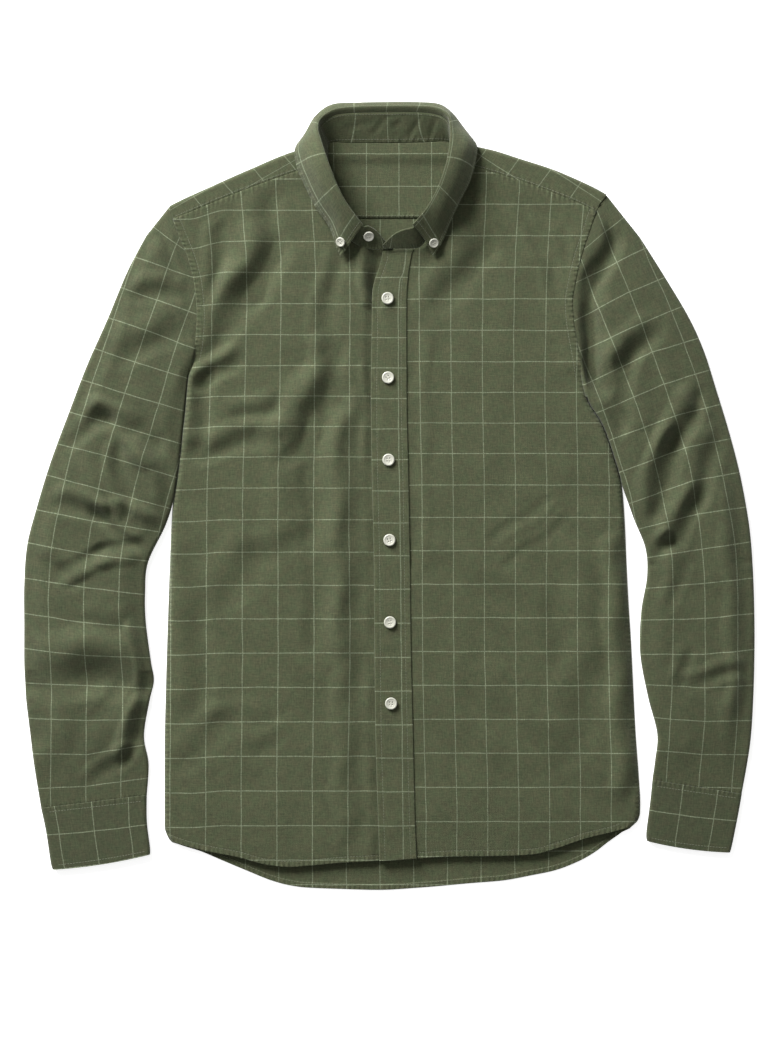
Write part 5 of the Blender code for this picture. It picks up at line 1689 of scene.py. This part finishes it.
@dataclass(frozen=True)
class CheckedCloth:
    """Green heathered poplin with a thin pale windowpane check."""

    base: Colour = rgba(0.060, 0.0745, 0.0345)
    browner: Colour = rgba(0.067, 0.0715, 0.0350)
    line: Colour = rgba(0.19, 0.22, 0.14)
    pitch: float = 36.4
    line_half: float = 0.45
    line_soft: float = 0.3
    line_wander: float = 0.05
    line_u_share: float = 0.85
    roughness: float = 0.86
    sheen: float = 0.15
    heather: float = 0.75
    speckle: float = 0.55
    patchiness: float = 0.35
    thread: float = 0.55
    weave_depth: float = 0.10
    pucker_pitch: float = 5.2
    pucker_reach: float = 9.0
    pucker_depth: float = 0.60
    pucker_sway: float = 7.0
    slub_depth: float = 0.10
    edge_wear: float = 0.10
    wear_reach: float = 1.0
    wear_softness: float = 0.8

    def material(self, name: str) -> Material:
        """The finish under a slot's name."""
        s = Shader(name)
        u, v = s.grain(Grain.CUT.value)
        from_seam, along_seam = s.grain(Grain.SEAM.value)
        warp, weft = u * self.pitch, v * self.pitch
        streaks = s.noise(warp, weft, LONG_STREAKS) + s.noise(warp, weft, CROSS_STREAKS) - 1.0
        tone = 1.0 + streaks * self.heather + (s.noise(warp, weft, CLOUDS) - 0.5) * self.patchiness
        tone = tone + (s.noise(warp, weft, FLECKS) - 0.5) * self.speckle
        worn = from_seam.below(self.wear_reach, self.wear_softness) * self.edge_wear
        wander = (s.noise(warp, weft, WANDER) - 0.5) * self.line_wander
        line_u, line_v = self.stripe(u + wander) * self.line_u_share, self.stripe(v + wander)
        line = line_u.math("MAXIMUM", line_u, line_v) * (s.noise(warp, weft, DOTS) * 2.0 - 0.15)
        hue = s.noise(warp, weft, HUES).below(0.5, 0.2)
        ground = s.colour(hue, self.base, self.browner)
        colour = s.brightened(s.colour(line, ground, self.line), tone + worn)
        sway = s.noise(along_seam, from_seam, PUCKER_SWAY) * self.pucker_sway
        ripple = (along_seam * (math.tau / self.pucker_pitch) + sway).sine()
        near = from_seam.below(self.pucker_reach * 0.45, self.pucker_reach * 0.55)
        puckers = ripple * near * s.noise(along_seam, from_seam, PUCKER_SHARES) * self.pucker_depth
        slubs = s.noise(warp, weft, SLUBS) * self.slub_depth
        normal = s.bump(self.weave(warp, weft) * self.weave_depth + puckers + slubs)
        nap = {"Sheen Weight": self.sheen, "Sheen Roughness": 0.5, "Specular IOR Level": 0.25}
        return s.finish({"Base Color": colour, "Roughness": self.roughness, "Normal": normal, **nap})

    def stripe(self, number: Signal) -> Signal:
        """1 on the pale lines of one direction."""
        return (number.from_whole() * self.pitch).below(self.line_half, self.line_soft)

    def weave(self, warp: Signal, weft: Signal) -> Signal:
        """The height of a plain weave."""
        turn = math.pi / self.thread
        return (warp * turn).sine() * (weft * turn).sine()


@dataclass(frozen=True)
class SewingThread:
    """Green sewing thread, a little paler than the cloth."""

    colour: Colour = rgba(0.125, 0.135, 0.085)

    def material(self, name: str) -> Material:
        """The finish."""
        return Shader(name).finish({"Base Color": self.colour, "Roughness": 0.7, "Sheen Weight": 0.2})


@dataclass(frozen=True)
class ButtonShell:
    """Off-white polished shell with faint clouds."""

    light: Colour = rgba(0.56, 0.56, 0.49)
    dark: Colour = rgba(0.45, 0.45, 0.37)
    roughness: float = 0.3

    def material(self, name: str) -> Material:
        """The finish under a slot's name."""
        s = Shader(name)
        place = s.add("ShaderNodeNewGeometry", {}, {}, "Position")
        cloud = s.add("ShaderNodeTexNoise", {}, {"Vector": place, "Scale": 260.0, "Detail": 3.0})
        polish = {"Roughness": self.roughness, "Coat Weight": 0.3, "Coat Roughness": 0.15}
        return s.finish({"Base Color": s.colour(cloud, self.dark, self.light), **polish})


@dataclass(frozen=True)
class Paper:
    """The pale, matt floor, which glows a little as a light table does."""

    colour: Colour = rgba(0.90, 0.90, 0.90)
    glow: float = 0.8

    def material(self, name: str) -> Material:
        """The finish."""
        glow = {"Emission Color": self.colour, "Emission Strength": self.glow}
        return Shader(name).finish({"Base Color": self.colour, "Roughness": 0.95, **glow})


# ---------------- sewing


@dataclass
class Seam:
    """A line of stitches on a surface.

    surface gives layout points for two arrays of its own two numbers, and first and second are those
    numbers along the line. lift is in millimetres over the surface, on the side that facing names: 1 or
    -1 for the side to which first cross second points.
    """

    surface: Callable[[Array, Array], Array]
    first: Array
    second: Array
    lift: float = 0.0
    facing: float = 1.0
    nudge: float = 0.01

    def path(self) -> tuple[Array, Array]:
        """Points along the line in metres, and the outward direction at each."""
        points = self.at(0.0, 0.0)
        normal = np.cross(self.at(self.nudge, 0.0) - points, self.at(0.0, self.nudge) - points) * self.facing
        normal /= np.maximum(np.linalg.norm(normal, axis=-1, keepdims=True), 1e-12)
        return points + normal * self.lift * MM, normal

    def at(self, more_first: float, more_second: float) -> Array:
        """The line moved a little over the surface, in metres."""
        points = self.surface(self.first + more_first, self.second + more_second)
        return LAYOUT.place(*np.moveaxis(points, -1, 0))


def over_table(height: Any) -> Callable[[Array, Array], Array]:
    """A surface over the layout, by its height: one number, or a function of x and y."""
    return lambda x, y: together(x, y, height(x, y) if callable(height) else height)


@dataclass
class Stitching:
    """Rows of lockstitches, sunk a little into the cloth."""

    length: float = 2.3
    pitch: float = 3.0
    width: float = 0.55
    height: float = 0.42
    profile: Profile = ((-0.5, 0.3), (-0.38, 0.85), (0.0, 1.0), (0.38, 0.85), (0.5, 0.3))
    sides: int = 6

    def build(self, name: str, seams: Sequence[Seam], look: Material) -> Object:
        """Makes all the stitches of some seams as one mesh."""
        return self.mesh(name, np.concatenate([self.row(*seam.path()) for seam in seams]), look)

    def row(self, points: Array, normals: Array) -> Array:
        """The vertices of a row of stitches, with a stitch on the first axis."""
        step = np.linalg.norm(np.diff(points, axis=0), axis=1)
        along = np.concatenate([[0.0], np.cumsum(step)])
        count = max(1, int(along[-1] / (self.pitch * MM)))
        at = (np.arange(count) + 0.5) * along[-1] / count
        half = self.length * MM / 2.0
        centre = self.between(along, points, at)
        tangent = self.between(along, points, at + half) - self.between(along, points, at - half)
        tangent /= np.maximum(np.linalg.norm(tangent, axis=1, keepdims=True), 1e-9)
        normal = self.between(along, normals, at)
        across = np.cross(normal, tangent)
        across /= np.maximum(np.linalg.norm(across, axis=1, keepdims=True), 1e-9)
        template = self.template()
        axes = enumerate((tangent, across, normal))
        return centre[:, None] + sum(axis[:, None] * template[None, :, k : k + 1] for k, axis in axes)

    def between(self, along: Array, values: Array, at: Array) -> Array:
        """Values along a line at some lengths."""
        return np.stack([np.interp(at, along, values[:, k]) for k in range(3)], axis=1)

    def template(self) -> Array:
        """The vertices of one stitch: along, across and up, in metres."""
        turns = np.arange(self.sides) * math.tau / self.sides
        rings = []
        for along, size in self.profile:
            across = np.cos(turns) * size * self.width / 2.0
            up = np.sin(turns) * size * self.height / 2.0
            rings.append(np.stack([np.full(self.sides, along * self.length), across, up], axis=1))
        return np.concatenate(rings) * MM

    def mesh(self, name: str, verts: Array, look: Material) -> Object:
        """One mesh of all the stitches."""
        rings, n = len(self.profile), self.sides
        faces = [tuple(range(n))[::-1], tuple(range((rings - 1) * n, rings * n))]
        for r in range(rings - 1):
            for k in range(n):
                m = (k + 1) % n
                faces.append((r * n + k, r * n + m, (r + 1) * n + m, (r + 1) * n + k))
        starts = range(0, len(verts) * rings * n, rings * n)
        every = [tuple(i + start for i in f) for start in starts for f in faces]
        mesh = bpy.data.meshes.new(name)
        mesh.from_pydata(verts.reshape(-1, 3).tolist(), [], every)
        mesh.materials.append(look)
        mesh.shade_smooth()
        return placed(name, mesh)


def skin(shape: BMesh, rings: Sequence[Sequence[BMVert]]) -> None:
    """Closes a shape between each of its rings and the next; a ring may also be one lone point."""
    count = max(len(ring) for ring in rings)
    for upper, lower in zip(rings, rings[1:]):
        for k in range(count):
            m = (k + 1) % count
            corners = [ring[i % len(ring)] for ring, i in ((lower, k), (lower, m), (upper, m), (upper, k))]
            shape.faces.new(list(dict.fromkeys(corners)))


@dataclass
class Button:
    """A turned four-hole button, sewn on with two bars of thread."""

    radius: float = 6.3
    thickness: float = 2.4
    steps: int = 48
    hole_radius: float = 0.62
    hole_spread: float = 1.15
    lift: float = 0.35
    drill_steps: int = 16
    thread_radius: float = 0.2
    thread_steps: int = 6
    strand_offset: float = 0.22
    thread_path: Profile = (
        (-1.0, -0.3), (-1.0, 1.648), (-0.5, 1.788), (0.5, 1.788), (1.0, 1.648), (1.0, -0.3),
    )
    profile: Profile = (
        (0.0, 0.80), (0.54, 0.80), (0.64, 0.83), (0.72, 0.92), (0.79, 0.99), (0.86, 1.0), (0.93, 0.94),
        (0.98, 0.78), (1.0, 0.58), (0.97, 0.30), (0.88, 0.08), (0.76, 0.0), (0.0, 0.0),
    )

    def build(self, name: str, centre: Vector, normal: Vector, look: Material) -> Object:
        """Makes the button with its underside over a point of the cloth."""
        shape = bmesh.new()
        rings = []
        for out, up in self.profile:
            ring = []
            for k in range(self.steps if out > 0 else 1):
                turn = k * math.tau / self.steps
                x, y = math.cos(turn) * out * self.radius, math.sin(turn) * out * self.radius
                ring.append(shape.verts.new(Vector((x, y, up * self.thickness)) * MM))
            rings.append(ring)
        skin(shape, rings)
        made = taken(name, shape, look)
        self.drill(made)
        made.data.shade_smooth()
        turn = normal.to_track_quat("Z", "Y").to_matrix().to_4x4()
        made.matrix_world = Matrix.Translation(centre + normal * self.lift * MM) @ turn
        return made

    def drill(self, made: Object) -> None:
        """Cuts the four holes."""
        shape = bmesh.new()
        for x, y in self.holes():
            place = Matrix.Translation(Vector((x, y, self.thickness / 2.0)) * MM)
            size = {"radius1": self.hole_radius * MM, "radius2": self.hole_radius * MM}
            size["depth"] = self.thickness * 2.0 * MM
            bmesh.ops.create_cone(shape, cap_ends=True, segments=self.drill_steps, matrix=place, **size)
        drill = taken("drill", shape)
        cut = made.modifiers.new("holes", "BOOLEAN")
        cut.operation = "DIFFERENCE"
        cut.solver = "EXACT"
        cut.object = drill
        settled(made)
        bpy.data.objects.remove(drill)

    def holes(self) -> list[tuple[float, float]]:
        """The holes' places on the button."""
        s = self.hole_spread
        return [(-s, -s), (s, -s), (s, s), (-s, s)]

    def threads(self, name: str, button: Object, look: Material) -> Object:
        """The two bars of thread, each of two strands from hole to hole and down through both."""
        shape = bmesh.new()
        spread = self.hole_spread
        for x in (side * spread + strand * self.strand_offset for side in (-1, 1) for strand in (-1, 1)):
            rings = []
            for place, z in self.thread_path:
                ring = []
                for k in range(self.thread_steps):
                    turn = k * math.tau / self.thread_steps
                    out, up = math.cos(turn) * self.thread_radius, math.sin(turn) * self.thread_radius
                    y = place * spread
                    point = (x + out, y, z + up) if -1.0 < place < 1.0 else (x + out, y + up * place, z)
                    ring.append(shape.verts.new(Vector(point) * MM))
                rings.append(ring)
            skin(shape, rings[::-1])
            shape.faces.new(rings[0][::-1])
            shape.faces.new(rings[-1])
        made = taken(name, shape, look)
        made.data.shade_smooth()
        made.matrix_world = button.matrix_world
        return made


# ---------------- studio


@dataclass
class Studio:
    """A pale floor, soft light from the upper left, and a camera straight above."""

    ambient: float = 0.32
    key_power: float = 455.0
    key_size: float = 1.87
    key_place: tuple[float, float, float] = (-2.18, 3.09, 1.90)
    camera_height: float = 3.0
    view_height: float = 1.0806
    centre_x: float = 0.00025
    centre_y: float = -0.0245
    sensor: float = 36.0
    floor_z: float = -0.0003
    floor_size: float = 12.0

    def build(self) -> None:
        """Makes the floor, the lights and the camera."""
        self.floor()
        self.lights()
        self.camera()

    def floor(self) -> None:
        """Makes the floor."""
        half = self.floor_size / 2.0
        mesh = bpy.data.meshes.new("floor")
        corners = [(-half, -half), (half, -half), (half, half), (-half, half)]
        mesh.from_pydata([(x, y, self.floor_z) for x, y in corners], [], [(0, 1, 2, 3)])
        mesh.materials.append(Paper().material("paper"))
        placed("floor", mesh)

    def lights(self) -> None:
        """Makes the world and the large, soft key light."""
        world = bpy.data.worlds.new("studio")
        world.use_nodes = True
        background = world.node_tree.nodes["Background"]
        background.inputs["Color"].default_value = rgba(1.0, 1.0, 1.0)
        background.inputs["Strength"].default_value = self.ambient
        bpy.context.scene.world = world
        data = bpy.data.lights.new("key", "AREA")
        data.energy = self.key_power
        data.size = self.key_size
        made = placed("key", data)
        made.location = self.key_place
        made.rotation_euler = Vector(self.key_place).to_track_quat("Z", "Y").to_euler()

    def camera(self) -> None:
        """Makes the camera, with the view's height on the cloth as wanted."""
        data = bpy.data.cameras.new("camera")
        data.sensor_width = self.sensor
        data.lens = self.sensor * self.camera_height / self.view_height
        made = placed("camera", data)
        made.location = (self.centre_x, self.centre_y, self.camera_height)
        bpy.context.scene.camera = made
        bpy.context.scene.view_settings.view_transform = "Standard"


# ---------------- the shirt


class Shirt:
    """All the pieces, dressed and tied to the frame."""

    def __init__(self) -> None:
        """Makes the finishes and the parts."""
        cloth = CheckedCloth()
        names = ("body_cloth", "yoke_cloth", "sleeve_cloth", "cuff_cloth", "placket_cloth", "collar_cloth")
        # The sleeves take darker copies of the cloth's colours, and the cuffs darker still: painted shade
        # for the dimmer light that falls on them.
        changes = {
            "placket_cloth": {"pucker_depth": 0.16},
            "cuff_cloth": {"base": rgba(0.049, 0.0613, 0.0283), "browner": rgba(0.0537, 0.0575, 0.0283)},
            "sleeve_cloth": {"base": rgba(0.0555, 0.069, 0.0320), "browner": rgba(0.062, 0.066, 0.0324)},
        }
        self.looks = {name: replace(cloth, **changes.get(name, {})).material(name) for name in names}
        self.thread = SewingThread().material("sewing_thread")
        self.shell = ButtonShell().material("button_white")
        self.button_thread = SewingThread(rgba(0.62, 0.62, 0.52)).material("button_thread")
        self.stitching = Stitching()

    def build(self) -> None:
        """Makes every piece."""
        back, yoke, placket, collar = Back(), Yoke(), Placket(), Collar()
        self.sheet("back", "body_cloth", back.panel(), back.cloth, self.back_seams(back))
        for side in (LEFT, RIGHT):
            front = Front(side)
            seams = self.front_seams(front)
            self.sheet(f"front_{side.name}", "body_cloth", front.panel(), front.cloth, seams)
        self.sheet("yoke", "yoke_cloth", yoke.panel(), yoke.cloth, self.yoke_seams(yoke))
        strip = placket.panel()
        self.sheet("placket", "placket_cloth", strip, placket.cloth, self.placket_seams(placket))
        for side in (LEFT, RIGHT):
            sleeve, cuff = Sleeve(side), Cuff(side)
            self.sheet(f"sleeve_{side.name}", "sleeve_cloth", sleeve.panel(), sleeve.cloth, [])
            band = cuff.panel()
            self.sheet(f"cuff_{side.name}", "cuff_cloth", band, cuff.cloth, self.cuff_seams(cuff, band))
        leaf, stand = collar.leaf(), collar.stand()
        self.sheet("collar_stand", "collar_cloth", stand, collar.cloth, self.stand_seams(collar), 0.0)
        self.sheet("collar_leaf", "collar_cloth", leaf, collar.cloth, self.leaf_seams(collar), 0.0)
        for number, spot in enumerate(FRONT_BUTTONS, 1):
            self.button(f"button_{number}", spot, strip, 0.0, Button())
        half = collar.cloth / 2.0
        self.button("button_stand", STAND_BUTTON, stand, half, Button(radius=5.5))
        self.button("button_point_left", LEFT_POINT_BUTTON, leaf, half, Button(radius=5.0))
        self.button("button_point_right", RIGHT_POINT_BUTTON, leaf, half, Button(radius=5.0))

    def sheet(
        self,
        node: str,
        slot: str,
        panel: Panel,
        thickness: float,
        seams: Sequence[Seam],
        offset: float = -1.0,
    ) -> None:
        """Makes a piece of cloth and its stitching.

        Args:
            node: The CAD node that it stands for.
            slot: The material slot that it takes its finish from.
            panel: Its grid.
            thickness: Of its cloth, in millimetres.
            seams: Its rows of stitches.
            offset: Where the wall lies on the grid.
        """
        piece = panel.build(thickness, self.looks[slot], offset)
        self.tie(piece)
        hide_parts(node)
        sewn = [self.stitching.build(f"{node}_stitching", seams, self.thread)] if seams else []
        for stitches in sewn:
            self.tie(stitches)
        LOG.info("%s: %d points, %d seams", piece.name, len(piece.data.vertices), len(seams))

    def tie(self, piece: Object) -> None:
        """Makes a piece ride on the frame's one body."""
        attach(piece, "root")

    def button(self, name: str, spot: Point, panel: Panel, half_ply: float, button: Button) -> None:
        """Makes a button on a piece of cloth."""
        target = LAYOUT.place(spot.x, spot.y, 0.0)
        away = np.linalg.norm(panel.points[..., :2] - target[:2], axis=-1)
        near = away < max(BUTTON_REACH, away.min() * 1.01)
        height = np.where(near, panel.points[..., 2], -1.0)
        i, j = np.unravel_index(np.argmax(height), height.shape)
        normal = panel.normals()[i, j]
        normal = normal if normal[2] > 0 else -normal
        foot = panel.points[i, j]
        slope = -(normal[0] * (target[0] - foot[0]) + normal[1] * (target[1] - foot[1])) / normal[2]
        place = Vector((target[0], target[1], foot[2] + slope))
        normal = Vector(normal)
        made = button.build(f"{name}_shell", place + normal * half_ply * MM, normal, self.shell)
        threads = button.threads(f"{name}_thread", made, self.button_thread)
        self.tie(made)
        self.tie(threads)
        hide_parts(name)
        LOG.info("%s: at %.1f mm", made.name, place.z / MM)

    def front_seams(self, front: Front) -> list[Seam]:
        """The rows along a front's hem and its armhole."""
        side, unit, surface = front.side, LAYOUT.unit, over_table(front.height)
        start = side.outward * (abs(side.outline(front.hem_corner_y)) - front.hem_row_inset)
        x = np.linspace(start, PLACKET_LEFT[-1].x - 1.0, front.hem_row_points)
        hem = Seam(surface, x, BODY.hem(x) + front.hem_width / unit)
        top = front.seam(front.side_x - side.outward * front.armhole_stitch) - 1.0
        y = np.linspace(side.armpit_y + front.armhole_row_start, top, front.armhole_row_points)
        armhole = Seam(surface, side.outline(y) - side.outward * front.armhole_stitch / unit, y)
        return [hem, armhole]

    def back_seams(self, back: Back) -> list[Seam]:
        """The row along the back's hem, on its inner side."""
        x = BACK_HEM_SPAN.points()
        surface = over_table(back.cloth * back.stitch_share)
        return [Seam(surface, x, back.hem(x) + back.hem_width / LAYOUT.unit)]

    def yoke_seams(self, yoke: Yoke) -> list[Seam]:
        """The two front seams, stitched just inside their edges, and the back one on the inner side."""
        front, inner = over_table(yoke.rise), over_table(yoke.cloth + yoke.back_lap * yoke.stitch_share)
        rows = []
        for span in YOKE_FRONT_SPANS:
            x = span.points()
            rows.append(Seam(front, x, BODY.yoke_seam(x) + yoke.stitch_inset))
        x = YOKE_BACK_SPAN.points()
        return [*rows, Seam(inner, x, np.full(x.shape, yoke.back_y + yoke.stitch_inset))]

    def placket_seams(self, placket: Placket) -> list[Seam]:
        """The two rows down the placket."""
        surface = over_table(placket.height)
        y = np.linspace(placket.row_start_y, placket.top_y - 1.0, placket.row_points)
        inset = placket.stitch_inset / LAYOUT.unit
        return [Seam(surface, placket.left(y) + inset, y), Seam(surface, placket.right(y) - inset, y)]

    def cuff_seams(self, cuff: Cuff, band: Panel) -> list[Seam]:
        """The rows along both of a cuff's edges, on its upper side."""
        first = cuff.tube.bottom + cuff.tube.turn
        last = first + cuff.tube.top
        if cuff.side.left:
            count = band.points.shape[1]
            first, last = count - last + 1, count - first
        column = np.linspace(first + 1.0, last - 2.0, cuff.row_points)
        rows = [band.row_at(cuff.stitch_inset), band.row_at(cuff.stitch_inset, low=True)]
        return [Seam(band.surface, np.full(column.shape, row), column, facing=-1.0) for row in rows]

    def leaf_seams(self, collar: Collar) -> list[Seam]:
        """The row round the leaf's edge and up both its front ends."""

        def surface(position: Array, place: Array) -> Array:
            """The leaf's middle surface."""
            columns = [collar.leaf_points(np.array([[p]]), [q])[0, 0] for p, q in zip(position, place)]
            return np.array(columns)

        start, end = collar.stitch_station, collar.sections.last - collar.stitch_station
        place = np.linspace(1.0, collar.stitch_place, collar.end_row_points)
        position = np.linspace(start, end, collar.row_points)[1:-1]
        edge = np.full(position.shape, collar.stitch_place)
        position = np.concatenate([np.full(place.shape, start), position, np.full(place.shape, end)])
        place = np.concatenate([place, edge, place[::-1]])
        return [Seam(surface, position, place, lift=collar.cloth / 2.0)]

    def stand_seams(self, collar: Collar) -> list[Seam]:
        """The rows along the stand's foot and top, on its inner side."""
        rows = collar.stand_rows()

        def surface(position: Array, up: Array) -> Array:
            """The stand's middle surface."""
            row = rows.at(position)
            return mix(row[:, 0:3], row[:, 3:6], up[:, None])

        margin, lift = collar.stand_row_margin, collar.cloth / 2.0
        position = np.linspace(margin, rows.last - margin, collar.stand_row_points)
        levels = (collar.foot_row, 1.0 - collar.foot_row)
        return [Seam(surface, position, np.full(position.shape, level), lift=lift) for level in levels]


def main() -> None:
    """Builds the studio and the shirt."""
    logging.basicConfig(level=logging.INFO, format="%(name)s: %(message)s")
    Studio().build()
    Shirt().build()


if __name__ == "__main__":
    main()
